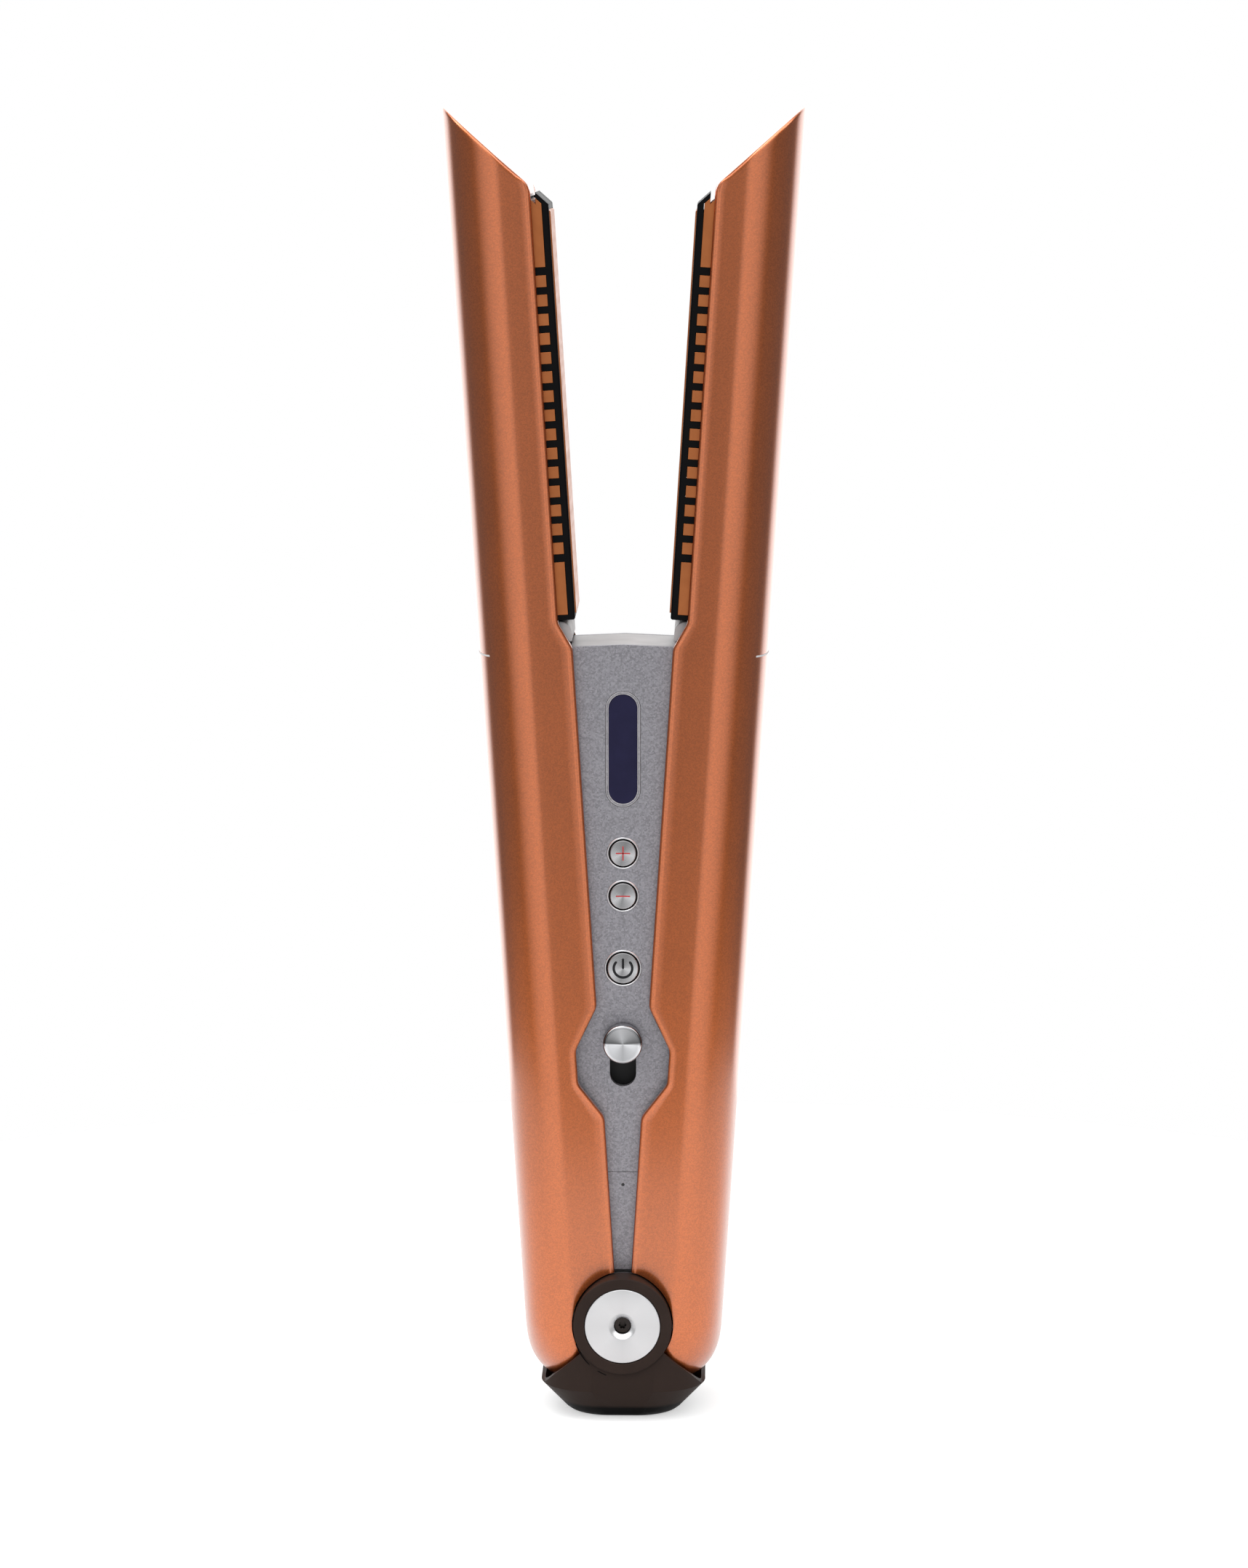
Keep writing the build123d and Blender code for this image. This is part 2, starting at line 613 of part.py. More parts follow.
def contact_insulator():
    puck = pin(DISC_R, -RING_FACE + 1.9, -BOSS_FACE) - pin(1.9, -FAR, 0)
    return Pos(0, 0, HUB_Z) * puck


def hub_screw():
    """Screw with a six-lobed socket, sunk in the disc's middle hole."""
    screw = pin(1.75, -RING_FACE + 1.6, -BOSS_FACE - 0.6) + pin(1.05, -BOSS_FACE - 0.7, -8.5)
    socket = pin(0.55, -RING_FACE + 1.0, -RING_FACE + 2.8)
    for i in range(6):
        angle = radians(60 * i)
        socket += pin(0.3, -RING_FACE + 1.0, -RING_FACE + 2.8, 0.6 * cos(angle), 0.6 * sin(angle))
    return Pos(0, 0, HUB_Z) * (screw - socket)


def cap_body(inset, sections):
    """Boat shape lofted through rounded rectangles: (height, half width, half depth, corner)."""
    faces = []
    for z, half_w, half_d, corner in sections:
        outline = RectangleRounded(2 * (half_w - inset), 2 * (half_d - inset), corner - inset)
        faces.append(Plane.XY.offset(z) * outline)
    return loft(faces, ruled=True)


def base_cap():
    """Cup that stands on its flat underside; its V-shaped rim leaves the arms' heels free."""
    sections = (
        (0.0, CAP_FLAT_HALF, CAP_FLAT_DEPTH, CAP_FLAT_CORNER),
        (CAP_EDGE_Z, CAP_EDGE_HALF, CAP_EDGE_DEPTH, CAP_FLAT_CORNER),
        (CAP_RIM_Z, CAP_HALF, CAP_RIM_DEPTH, CAP_CORNER),
        (HUB_Z, CAP_HALF, CAP_DEPTH, CAP_CORNER),
    )
    cap = cap_body(0, sections)
    room = cap_body(CAP_WALL, sections) & block(-FAR, FAR, -FAR, FAR, CAP_FLOOR, 60)
    cap -= room
    rim = FilletPolyline(*CAP_RIM, (FAR, CAP_RIM_Z), radius=[3.0, 0.6])
    far = Polyline((FAR, CAP_RIM_Z), (FAR, 60), (CAP_RIM[0][0], 60), CAP_RIM[0])
    above = extrude(Plane.XZ.offset(-FAR) * make_face([rim, far]), 2 * FAR)
    cap -= above + mirror(above, Plane.YZ)
    cap -= pin(RING_R + 0.15, -FAR, FAR, 0, HUB_Z)
    return cap - block(-12, 12, -FAR, FAR, HUB_Z - 6, 60)


# ---- build --------------------------------------------------------------------------------------
def build():
    ring = both_faces(hub_ring())
    disc = both_faces(contact_disc())
    insulator = both_faces(contact_insulator())
    screw = both_faces(hub_screw())
    spring = both_faces(torsion_spring())
    parts = {
        "spine_frame": [spine_frame()],
        "front_panel": [front_panel()],
        "rear_panel": [rear_panel()],
        "spine_top_cap": [spine_top_cap()],
        "display_bezel": [display_bezel()],
        "display_window": [display_window()],
        "display_module": [display_module()],
        "control_board": [control_board()],
        "button_switches": button_switches(),
        "button_collars": button_collars(),
        "charge_light": [charge_light()],
        "lock_rail": [lock_rail()],
        "base_cap": [base_cap()],
        "hub_axle": [hub_axle()],
        "thrust_washers": thrust_washers(),
        "left_torsion_spring": [spring[0]],
        "right_torsion_spring": [spring[1]],
        "hub_ring_front": [ring[0]],
        "hub_ring_rear": [ring[1]],
        "contact_disc_front": [disc[0]],
        "contact_disc_rear": [disc[1]],
        "contact_insulator_front": [insulator[0]],
        "contact_insulator_rear": [insulator[1]],
        "hub_screw_front": [screw[0]],
        "hub_screw_rear": [screw[1]],
        "plus_button": [button(SMALL_BUTTON_R, PLUS_Z)],
        "minus_button": [button(SMALL_BUTTON_R, MINUS_Z)],
        "power_button": [button(POWER_BUTTON_R, POWER_Z)],
        "lock_knob": [lock_knob()],
        "lock_bar": [lock_bar()],
    }
    arm_pieces = {
        "arm_shell": [arm_shell()],
        "inner_cover": [inner_cover()],
        "battery_cells": battery_cells(),
        "bracket_screws": bracket_screws(),
        "plate_tray": [plate_tray()],
        "plate_springs": plate_springs(),
        "plate": [plate()],
        "plate_frame": [plate_frame()],
        "heater": [heater()],
        "heat_insulator": [heat_insulator()],
        "temperature_sensor": [temperature_sensor()],
    }
    for name, solids in arm_pieces.items():
        parts["left_" + name] = [open_left(solid) for solid in solids]
        parts["right_" + name] = [open_right(solid) for solid in solids]
    bracket = hinge_bracket()
    parts["left_hinge_bracket"] = [turned_left(bracket)]
    parts["right_hinge_bracket"] = [open_right(bracket)]
    return parts


def main():
    os.makedirs("parts", exist_ok=True)
    for name, shapes in build().items():
        solids = [solid for shape in shapes for solid in shape.solids()]
        whole = solids[0] if len(solids) == 1 else Compound(children=solids)
        export_step(whole, "parts/" + name + ".step")


main()
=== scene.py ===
import bmesh
import bpy
import json
import math
import numpy as np
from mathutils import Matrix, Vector


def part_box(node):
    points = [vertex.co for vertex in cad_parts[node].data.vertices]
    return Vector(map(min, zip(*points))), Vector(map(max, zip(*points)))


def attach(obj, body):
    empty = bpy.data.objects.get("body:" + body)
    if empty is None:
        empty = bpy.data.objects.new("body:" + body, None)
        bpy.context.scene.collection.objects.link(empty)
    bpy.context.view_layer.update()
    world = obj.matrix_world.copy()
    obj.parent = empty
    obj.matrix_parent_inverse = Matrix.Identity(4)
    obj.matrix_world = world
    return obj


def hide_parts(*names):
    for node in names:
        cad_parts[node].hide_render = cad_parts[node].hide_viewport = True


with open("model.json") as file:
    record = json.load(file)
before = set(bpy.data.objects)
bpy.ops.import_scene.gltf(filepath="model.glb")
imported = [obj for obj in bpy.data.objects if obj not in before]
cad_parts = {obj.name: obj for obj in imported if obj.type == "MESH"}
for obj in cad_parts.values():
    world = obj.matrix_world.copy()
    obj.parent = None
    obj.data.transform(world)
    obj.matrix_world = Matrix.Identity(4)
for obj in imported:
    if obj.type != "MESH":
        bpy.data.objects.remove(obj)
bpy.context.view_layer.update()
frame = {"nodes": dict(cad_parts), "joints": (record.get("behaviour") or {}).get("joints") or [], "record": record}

MM = 0.001

# ---- places taken from the frame ----------------------------------------------------------------
AXLE_LOW, AXLE_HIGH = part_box("hub_axle")
HUB = (AXLE_LOW + AXLE_HIGH) / 2
HINGE = [j for j in frame["joints"] if j["name"] == "left_arm_hinge"][0]
OPEN = math.radians(HINGE["range_deg"][1])
PANEL_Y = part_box("front_panel")[0].y

# ---- the arm's own sizes, drawn closed, in millimetres from the hub axis -------------------------
OUT_HUB = 22.68
OUT_TIP = 23.05
NOSE_H = 251.3
TIP_H = NOSE_H + OUT_TIP
ARM_DEPTH = 18.0
CREASE_HUB = 11.2
CREASE_TIP = 11.4
FACET_SLOPE = 0.39
BACK_FULLNESS = 0.68
WALL = 1.7
# rolled bead along the lip: (distance from the lip, depth in front of the lip's corner)
BEAD = ((0.0, -0.75), (0.0, -0.12), (0.05, 0.14), (0.18, 0.35), (0.38, 0.5), (0.62, 0.56),
        (0.82, 0.53), (1.02, 0.47), (1.3, 0.51))
CREASE_R = 0.9
TIP_R = 1.3
END_INWARD = (-0.2, -1.0, -0.2)     # roughly into the slanted end face
LIP_CORNER = 0.8
HEEL_DROP = 17.4
HEEL_DEPTH_DROP = 18.4
HEEL_CUT = 15.0
HEEL_FULLNESS = 0.5
FRONT_LIP = ((1.2, -30), (1.15, 47.2), (6.5, 55.5), (6.5, 63.4), (1.3, 72.4), (1.45, 153.4),
             (4.3, 159.4), (4.25, 300))
FRONT_LIP_R = (3.4, 3.4, 3.4, 3.4, 3.0, 3.0)
REAR_LIP = ((1.2, -30), (1.3, 72.4), (1.45, 153.4), (4.3, 159.4), (4.25, 300))
REAR_LIP_R = (60, 3.0, 3.0)


# ---- mesh helpers -------------------------------------------------------------------------------
SHARP = 35              # degrees; edges that turn further are drawn sharp
BEVEL_ANGLE = 34
BEVEL_SEGMENTS = 3
NORMAL_WEIGHT = 80
FLAT_ANGLE = 0.6        # degrees; triangles flatter than this are joined before softening
CAD_MERGE = 2e-6
LATHE_STEPS = 96
RIBBON_END_STEPS = 6
RIBBON_BACK = 0.03      # how far a mark reaches behind its face


def mesh_object(name, verts, faces, sharp=SHARP, merge=1e-6):
    """Object from points in metres; doubles are merged and the normals face outwards."""
    mesh = bpy.data.meshes.new(name)
    mesh.from_pydata([tuple(v) for v in verts], [], faces)
    work = bmesh.new()
    work.from_mesh(mesh)
    bmesh.ops.remove_doubles(work, verts=work.verts, dist=merge)
    bmesh.ops.dissolve_degenerate(work, edges=work.edges, dist=merge)
    bmesh.ops.recalc_face_normals(work, faces=work.faces)
    work.to_mesh(mesh)
    work.free()
    obj = bpy.data.objects.new(name, mesh)
    bpy.context.scene.collection.objects.link(obj)
    shade(obj, sharp)
    return obj


def shade(obj, sharp):
    for face in obj.data.polygons:
        face.use_smooth = True
    obj.data.set_sharp_from_angle(angle=math.radians(sharp))


def settle(obj):
    """Put the result of the modifiers into the mesh."""
    graph = bpy.context.evaluated_depsgraph_get()
    mesh = bpy.data.meshes.new_from_object(obj.evaluated_get(graph))
    obj.modifiers.clear()
    obj.data = mesh


def soften(obj, width):
    """Round the sharper edges, and keep the flat faces beside them looking flat."""
    bevel = obj.modifiers.new("bevel", "BEVEL")
    bevel.width = width * MM
    bevel.segments = BEVEL_SEGMENTS
    bevel.limit_method = "ANGLE"
    bevel.angle_limit = math.radians(BEVEL_ANGLE)
    bevel.use_clamp_overlap = True
    settle(obj)
    shade(obj, SHARP)
    weighted = obj.modifiers.new("weighted", "WEIGHTED_NORMAL")
    weighted.mode = "FACE_AREA"
    weighted.weight = NORMAL_WEIGHT
    weighted.keep_sharp = True
    settle(obj)


def piece(obj, body, slot, mat, *nodes):
    obj.data.materials.clear()
    obj.data.materials.append(mat)
    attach(obj, body)
    if nodes:
        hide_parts(*nodes)
    return obj


def rounded_from(node, name, width, body, slot, mat):
    """A CAD piece with its edges softened, which stands in its place."""
    source = frame["nodes"][node].data
    mesh = source.copy()
    work = bmesh.new()
    work.from_mesh(mesh)
    bmesh.ops.remove_doubles(work, verts=work.verts, dist=CAD_MERGE)
    bmesh.ops.dissolve_limit(work, angle_limit=math.radians(FLAT_ANGLE), verts=work.verts,
                             edges=work.edges)
    work.to_mesh(mesh)
    work.free()
    obj = bpy.data.objects.new(name, mesh)
    bpy.context.scene.collection.objects.link(obj)
    soften(obj, width)
    return piece(obj, body, slot, mat, node)


def lathe(name, profile, centre, run=0.0, steps=LATHE_STEPS):
    """Turned piece round an axis along Y. profile holds (radius, y) in millimetres; run stretches
    it upwards and downwards into a slot shape. The object's origin is at centre."""
    verts, faces = [], []
    count = len(profile)
    for i in range(steps):
        a = 2 * math.pi * (i + 0.5) / steps
        shift = run if math.sin(a) > 0 else -run
        for radius, y in profile:
            x, z = radius * math.cos(a), radius * math.sin(a) + shift
            verts.append((x * MM, y * MM, z * MM))
    for i in range(steps):
        for j in range(count - 1):
            a, b = i * count + j, ((i + 1) % steps) * count + j
            faces.append((a, b, b + 1, a + 1))
    obj = mesh_object(name, verts, faces)
    obj.location = centre
    return obj


def turned(name, node, body, slot, profile, facing=-1, run=0.0, shown_for=True, mat=None):
    """Turned piece on a CAD node's axis. profile holds (radius, depth behind the node's face) in
    millimetres; facing is -1 for a face that looks to the front and 1 for one that looks back."""
    low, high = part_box(node)
    centre = (low + high) / 2
    centre.y = low.y if facing < 0 else high.y
    obj = lathe(name, [(r, -facing * depth) for r, depth in profile], centre, run)
    return piece(obj, body, slot, mat or MATERIALS[slot], *([node] if shown_for else []))


def ribbon(name, path, width, y_face, lift, centre):
    """Flat mark with round ends along a path in the XZ plane, on a face that looks to -Y."""
    half = width / 2
    points = [Vector((x, z)) for x, z in path]
    left, right = [], []
    for i, p in enumerate(points):
        before, after = points[max(i - 1, 0)], points[min(i + 1, len(points) - 1)]
        along = (after - before).normalized()
        side = Vector((-along.y, along.x)) * half
        left.append(p + side)
        right.append(p - side)
    ends = []
    for p, towards in ((points[-1], points[-1] - points[-2]), (points[0], points[0] - points[1])):
        base = math.atan2(towards.y, towards.x)
        turn = [base + math.pi / 2 - math.pi * k / RIBBON_END_STEPS
                for k in range(1, RIBBON_END_STEPS)]
        ends.append([p + half * Vector((math.cos(a), math.sin(a))) for a in turn])
    outline = left + ends[0] + right[::-1] + ends[1]
    count = len(outline)
    verts = [(p.x * MM, (y_face - lift) * MM, p.y * MM) for p in outline]
    verts += [(p.x * MM, (y_face + RIBBON_BACK) * MM, p.y * MM) for p in outline]
    n, e = len(points), len(ends[0])
    faces = []
    rights = [n + e + n - 1 - i for i in range(n)]
    for i in range(n - 1):
        faces.append((i, i + 1, rights[i + 1], rights[i]))
    faces.append(tuple([n - 1] + list(range(n, n + e)) + [rights[n - 1]]))
    faces.append(tuple([rights[0]] + list(range(n + e + n, count)) + [0]))
    for i in range(count):
        j = (i + 1) % count
        faces.append((i, j, count + j, count + i))
    obj = mesh_object(name, verts, faces, merge=1e-8)
    obj.location = centre
    return obj


# ---- materials ----------------------------------------------------------------------------------
class Paint:
    """A Principled material with helpers that add procedural detail."""

    def __init__(self, name, rough, metal=0.0, coat=0.0, coat_rough=0.1, anisotropic=0.0):
        self.material = bpy.data.materials.new(name)
        self.material.use_nodes = True
        self.nodes = self.material.node_tree.nodes
        self.links = self.material.node_tree.links
        self.shader = self.nodes["Principled BSDF"]
        self.set("Metallic", metal)
        self.set("Roughness", rough)
        self.set("Coat Weight", coat)
        self.set("Coat Roughness", coat_rough)
        self.set("Anisotropic", anisotropic)
        self.place = self.nodes.new("ShaderNodeTexCoord").outputs["Object"]
        self.height = None

    def set(self, socket, value):
        self.shader.inputs[socket].default_value = value

    def noise(self, scale, detail, stretch=None):
        node = self.nodes.new("ShaderNodeTexNoise")
        node.inputs["Scale"].default_value = scale
        node.inputs["Detail"].default_value = detail
        source = self.place
        if stretch:
            mapping = self.nodes.new("ShaderNodeMapping")
            mapping.inputs["Scale"].default_value = stretch
            self.links.new(self.place, mapping.inputs["Vector"])
            source = mapping.outputs["Vector"]
        self.links.new(source, node.inputs["Vector"])
        return node.outputs["Fac"]

    def cells(self, size):
        """One random value for each small cell, for metallic flake."""
        node = self.nodes.new("ShaderNodeTexVoronoi")
        node.inputs["Scale"].default_value = 1 / size
        self.links.new(self.place, node.inputs["Vector"])
        split = self.nodes.new("ShaderNodeSeparateColor")
        self.links.new(node.outputs["Color"], split.inputs["Color"])
        return split.outputs["Red"]

    def rings(self, spacing):
        """Fine turning marks round the Y axis."""
        split = self.nodes.new("ShaderNodeSeparateXYZ")
        self.links.new(self.place, split.inputs["Vector"])
        squares = [self.math("MULTIPLY", split.outputs[k], split.outputs[k]) for k in "XZ"]
        radius = self.math("SQRT", self.math("ADD", *squares), 0.0)
        node = self.nodes.new("ShaderNodeTexNoise")
        node.noise_dimensions = "1D"
        node.inputs["Scale"].default_value = 1 / spacing
        node.inputs["Detail"].default_value = 2.0
        self.links.new(radius, node.inputs["W"])
        return node.outputs["Fac"]

    def turn(self):
        """Share of a turn round the Y axis, from 0 at the left through 0.25 at the bottom."""
        split = self.nodes.new("ShaderNodeSeparateXYZ")
        self.links.new(self.place, split.inputs["Vector"])
        angle = self.math("ARCTAN2", split.outputs["Z"], split.outputs["X"])
        return self.spread(angle, 0.0, 1.0, -math.pi, math.pi)

    def math(self, operation, a, b):
        node = self.nodes.new("ShaderNodeMath")
        node.operation = operation
        for socket, value in zip(node.inputs, (a, b)):
            if isinstance(value, float):
                socket.default_value = value
            else:
                self.links.new(value, socket)
        return node.outputs["Value"]

    def spread(self, value, low, high, start=0.3, end=0.7):
        node = self.nodes.new("ShaderNodeMapRange")
        limits = {"From Min": start, "From Max": end, "To Min": low, "To Max": high}
        for key, number in limits.items():
            node.inputs[key].default_value = number
        self.links.new(value, node.inputs["Value"])
        return node.outputs["Result"]

    def colours(self, value, stops):
        node = self.nodes.new("ShaderNodeValToRGB")
        ramp = node.color_ramp
        while len(ramp.elements) < len(stops):
            ramp.elements.new(0.5)
        for element, (place, colour) in zip(ramp.elements, stops):
            element.position = place
            element.color = (*colour, 1.0)
        self.links.new(value, node.inputs["Fac"])
        self.links.new(node.outputs["Color"], self.shader.inputs["Base Color"])

    def mottle(self, colour, amount, value, low=0.3, high=0.7):
        dark = [c * (1 - amount) for c in colour]
        light = [min(1.0, c * (1 + amount)) for c in colour]
        self.colours(value, [(low, dark), (high, light)])

    def rough(self, value, low, high):
        self.links.new(self.spread(value, low, high), self.shader.inputs["Roughness"])

    def bump(self, value, distance, strength=1.0):
        node = self.nodes.new("ShaderNodeBump")
        node.inputs["Distance"].default_value = distance
        node.inputs["Strength"].default_value = strength
        self.links.new(value, node.inputs["Height"])
        if self.height is not None:
            self.links.new(self.height, node.inputs["Normal"])
        self.height = node.outputs["Normal"]
        self.links.new(self.height, self.shader.inputs["Normal"])

    def radial(self):
        node = self.nodes.new("ShaderNodeTangent")
        node.direction_type = "RADIAL"
        node.axis = "Y"
        self.links.new(node.outputs["Tangent"], self.shader.inputs["Tangent"])


COPPER = (0.63, 0.152, 0.031)
GREY = (0.275, 0.27, 0.295)
CAP_DARK = (0.029, 0.0185, 0.0150)
# painted shade: near-black for the cap's lower edge, which turns under towards the floor
FOOT_SHADE_BLACK = (0.0015, 0.0012, 0.0012)
FOOT_SHADE_TOP = 0.0026       # metres above the ground, where the painted shade along the cap's lower edge ends
FOOT_SHADE_FADE = 0.0004


def copper_shell():
    paint = Paint("copper_lacquer", 0.36, metal=1.0, coat=1.0, coat_rough=0.16)
    paint.set("Coat IOR", 1.75)
    paint.mottle(COPPER, 0.12, paint.cells(0.00026), 0.0, 1.0)
    paint.rough(paint.noise(60, 4), 0.34, 0.39)
    paint.bump(paint.noise(2600, 2), 0.00002, 0.25)
    return paint.material


def panel_grey():
    paint = Paint("panel_metallic_grey", 0.42, metal=0.55)
    paint.mottle(GREY, 0.22, paint.cells(0.00035), 0.0, 1.0)
    paint.rough(paint.noise(80, 3), 0.38, 0.46)
    paint.bump(paint.noise(3200, 2), 0.00002, 0.3)
    return paint.material


def moulded(name, colour, rough, grain=0.2, shine=0.5):
    paint = Paint(name, rough)
    paint.set("Specular IOR Level", shine)
    paint.mottle(colour, 0.12, paint.noise(140, 5))
    paint.rough(paint.noise(90, 3), rough - 0.04, rough + 0.05)
    paint.bump(paint.noise(4200, 2), 0.000025, grain)
    return paint.material


def bare_metal(name, colour, rough, grain=(1, 1, 1)):
    paint = Paint(name, rough, metal=1.0)
    paint.mottle(colour, 0.06, paint.noise(300, 4, grain))
    paint.rough(paint.noise(500, 3, grain), rough - 0.05, rough + 0.06)
    paint.bump(paint.noise(2500, 2, grain), 0.00002, 0.12)
    return paint.material


def spun_metal(name, colour, rough, anisotropic, painted_light):
    """Turned face: fine rings, and painted highlight and shade that change round the axis."""
    paint = Paint(name, rough, metal=1.0, anisotropic=anisotropic)
    # painted highlight and shade: the base colour brightens and darkens round the axis
    paint.colours(paint.turn(), [(turn, [c * k for c in colour]) for turn, k in painted_light])
    marks = paint.rings(0.00012)
    paint.rough(marks, rough - 0.03, rough + 0.04)
    paint.bump(marks, 0.00001, 0.15)
    paint.radial()
    return paint.material


def display_glass():
    paint = Paint("display_window_tint", 0.1)
    paint.set("Specular IOR Level", 0.12)
    paint.mottle((0.014, 0.013, 0.043), 0.12, paint.noise(220, 3))
    paint.rough(paint.noise(120, 3), 0.08, 0.13)
    return paint.material


def cap_with_painted_shade():
    """The cap's plastic, with painted shade: black along the lower edge that turns under."""
    paint = Paint("cap_plastic_painted_shade", 0.44)
    paint.set("Specular IOR Level", 0.08)
    split = paint.nodes.new("ShaderNodeSeparateXYZ")
    paint.links.new(paint.place, split.inputs["Vector"])
    uneven = paint.spread(paint.noise(140, 5), -FOOT_SHADE_FADE / 4, FOOT_SHADE_FADE / 4)
    height = paint.math("ADD", split.outputs["Z"], uneven)
    share = paint.spread(height, 0.0, 1.0, FOOT_SHADE_TOP - FOOT_SHADE_FADE, FOOT_SHADE_TOP + FOOT_SHADE_FADE)
    # painted shade: the colour goes to black close to the ground, under the cap's rounded edge
    paint.colours(share, [(0.0, FOOT_SHADE_BLACK), (1.0, CAP_DARK)])
    paint.rough(paint.noise(90, 3), 0.4, 0.49)
    paint.bump(paint.noise(4200, 2), 0.000025, 0.3)
    return paint.material


# (share of a turn, brightness) round each turned face: painted highlight and shade
DISC_PAINTED_LIGHT = ((0.0, 0.96), (0.12, 1.04), (0.25, 0.95), (0.36, 1.04), (0.5, 0.96), (0.64, 1.04),
               (0.75, 0.97), (0.87, 1.03), (1.0, 0.96))
BUTTON_PAINTED_LIGHT = ((0.0, 1.1), (0.08, 1.45), (0.22, 0.75), (0.36, 1.15), (0.46, 1.5), (0.56, 0.95),
                 (0.7, 0.62), (0.88, 0.8), (1.0, 1.1))
# painted reflection: the knob's lower half is bright and its upper half dark
KNOB_PAINTED_LIGHT = ((0.0, 1.65), (0.12, 1.35), (0.25, 0.95), (0.4, 1.35), (0.49, 1.75), (0.52, 0.25),
               (0.66, 0.62), (0.78, 0.85), (0.9, 0.5), (0.985, 0.22), (1.0, 1.65))

MATERIALS = {
    "copper_shell": copper_shell(),
    "panel_grey": panel_grey(),
    "grey_moulding": moulded("grey_moulding", (0.42, 0.415, 0.42), 0.42),
    "cap_dark": moulded("cap_dark_plastic", CAP_DARK, 0.44, 0.3, 0.08),
    "black_moulding": moulded("black_moulding", (0.012, 0.012, 0.013), 0.5, 0.2, 0.25),
    "plate_carrier_black": moulded("carrier_black", (0.0025, 0.0025, 0.003), 0.4, 0.15, 0.08),
    "spine_moulding": moulded("spine_moulding", (0.16, 0.16, 0.165), 0.5),
    "insulator": moulded("insulation_board", (0.62, 0.52, 0.36), 0.8),
    "ceramic": moulded("ceramic", (0.80, 0.78, 0.72), 0.35),
    "washer_plastic": moulded("acetal", (0.75, 0.75, 0.70), 0.4),
    "switch_black": moulded("switch_black", (0.03, 0.03, 0.03), 0.45),
    "board_green": moulded("solder_mask", (0.012, 0.11, 0.045), 0.32),
    "light_pipe": moulded("light_pipe", (0.012, 0.012, 0.014), 0.2),
    "cast_bracket": bare_metal("cast_alloy", (0.52, 0.53, 0.55), 0.46),
    "battery_foil": bare_metal("pouch_foil", (0.60, 0.61, 0.64), 0.33),
    "screw_steel": bare_metal("turned_steel", (0.48, 0.48, 0.50), 0.3),
    "spring_steel": bare_metal("spring_wire", (0.38, 0.38, 0.40), 0.3),
    "bezel_metal": bare_metal("bezel_satin", (0.66, 0.66, 0.68), 0.3),
    "hub_screw_black": bare_metal("black_oxide", (0.035, 0.030, 0.028), 0.3),
    "copper_plate": bare_metal("plate_alloy", (0.40, 0.135, 0.048), 0.34, (1, 0.1, 1)),
    "contact_silver": spun_metal("contact_spun", (0.68, 0.68, 0.69), 0.36, 0.5, DISC_PAINTED_LIGHT),
    "button_metal": spun_metal("button_spun", (0.40, 0.40, 0.41), 0.28, 0.6, BUTTON_PAINTED_LIGHT),
    "lock_chrome": spun_metal("lock_spun", (0.50, 0.505, 0.52), 0.18, 0.5, KNOB_PAINTED_LIGHT),
    "display_glass": display_glass(),
}
CAP_PLASTIC_SHADED = cap_with_painted_shade()
MARK_RED = moulded("icon_red", (0.50, 0.028, 0.03), 0.45)
MARK_BLACK = moulded("icon_black", (0.012, 0.012, 0.014), 0.4, 0.2, 0.2)
MARK_PALE = moulded("mark_pale", (0.72, 0.70, 0.69), 0.45)
# near-black for dark joints, and for painted shade in the gaps round the buttons and the hub ring
JOINT_DARK_AND_SHADE = moulded("joint_dark_and_painted_shade", (0.004, 0.003, 0.003), 0.6, 0.2, 0.05)


def dress_frame():
    """Every CAD node takes its slot's material; pieces made later stand for some of them."""
    slots = {row["node"]: row["material_slot"] for row in frame["record"]["subparts"]}
    for name, obj in frame["nodes"].items():
        obj.data.materials.clear()
        obj.data.materials.append(MATERIALS[slots[name]])


# ---- arm shells ---------------------------------------------------------------------------------
LIP_STEPS = len(BEAD) - 1
FACET_STEPS = 5
CREASE_STEPS = 5
BACK_STEPS = 34
BEND_STEPS = 8          # in each corner of the lip line
LIP_CORNER_STEPS = 12
LIP_BEYOND = 30         # the lip line runs on past the slanted end
ROW_TOP = 236.0
# (from height, to height, rows)
ROW_ZONES = ((-HEEL_CUT, 0, 16), (0, 42, 10), (42, 80, 64), (80, 148, 12), (148, 166, 30),
             (166, ROW_TOP, 12))
END_STEPS = 14
END_TRIES = 6           # rounds of closing in on where a column meets the slanted end
ROUND_STEPS = 5
ROUND_SMOOTHING = 3
RUNGS = 12
SHELL_SHARP = 50
SHELL_MERGE = 4e-7
RING_ROOM = 11.45       # radius of the room round the hub ring
RING_ROOM_DEPTH = 40
FOOT_ROOM_X = (-5, 8.6)
FOOT_ROOM_Y = 40
FOOT_ROOM_Z = (-30, -1)


def lip_line(points, radii):
    """Heights and positions along the lip, with its corners and its top end rounded."""
    xs, hs = [points[0][0]], [points[0][1]]
    for i, radius in enumerate(radii, 1):
        before, corner, after = (Vector(points[i + k]) for k in (-1, 0, 1))
        back, on = (before - corner).normalized(), (after - corner).normalized()
        half = math.acos(max(-1.0, min(1.0, back.dot(on)))) / 2
        reach = radius / math.tan(half)
        start, end = corner + back * reach, corner + on * reach
        for k in range(BEND_STEPS + 1):
            t = k / BEND_STEPS
            p = start * (1 - t) ** 2 + corner * (2 * t * (1 - t)) + end * t ** 2
            xs.append(p.x)
            hs.append(p.y)
    lip = points[-1][0]
    start = NOSE_H + lip - LIP_CORNER
    for k in range(LIP_CORNER_STEPS + 1):
        rise = 2 * LIP_CORNER * k / LIP_CORNER_STEPS
        hs.append(start + rise)
        xs.append(lip + rise ** 2 / (4 * LIP_CORNER))
    # straight up from here: along the slanted end, the facet's columns would all meet at the crease
    hs.append(hs[-1] + LIP_BEYOND)
    xs.append(xs[-1])
    return np.array(hs), np.array(xs)


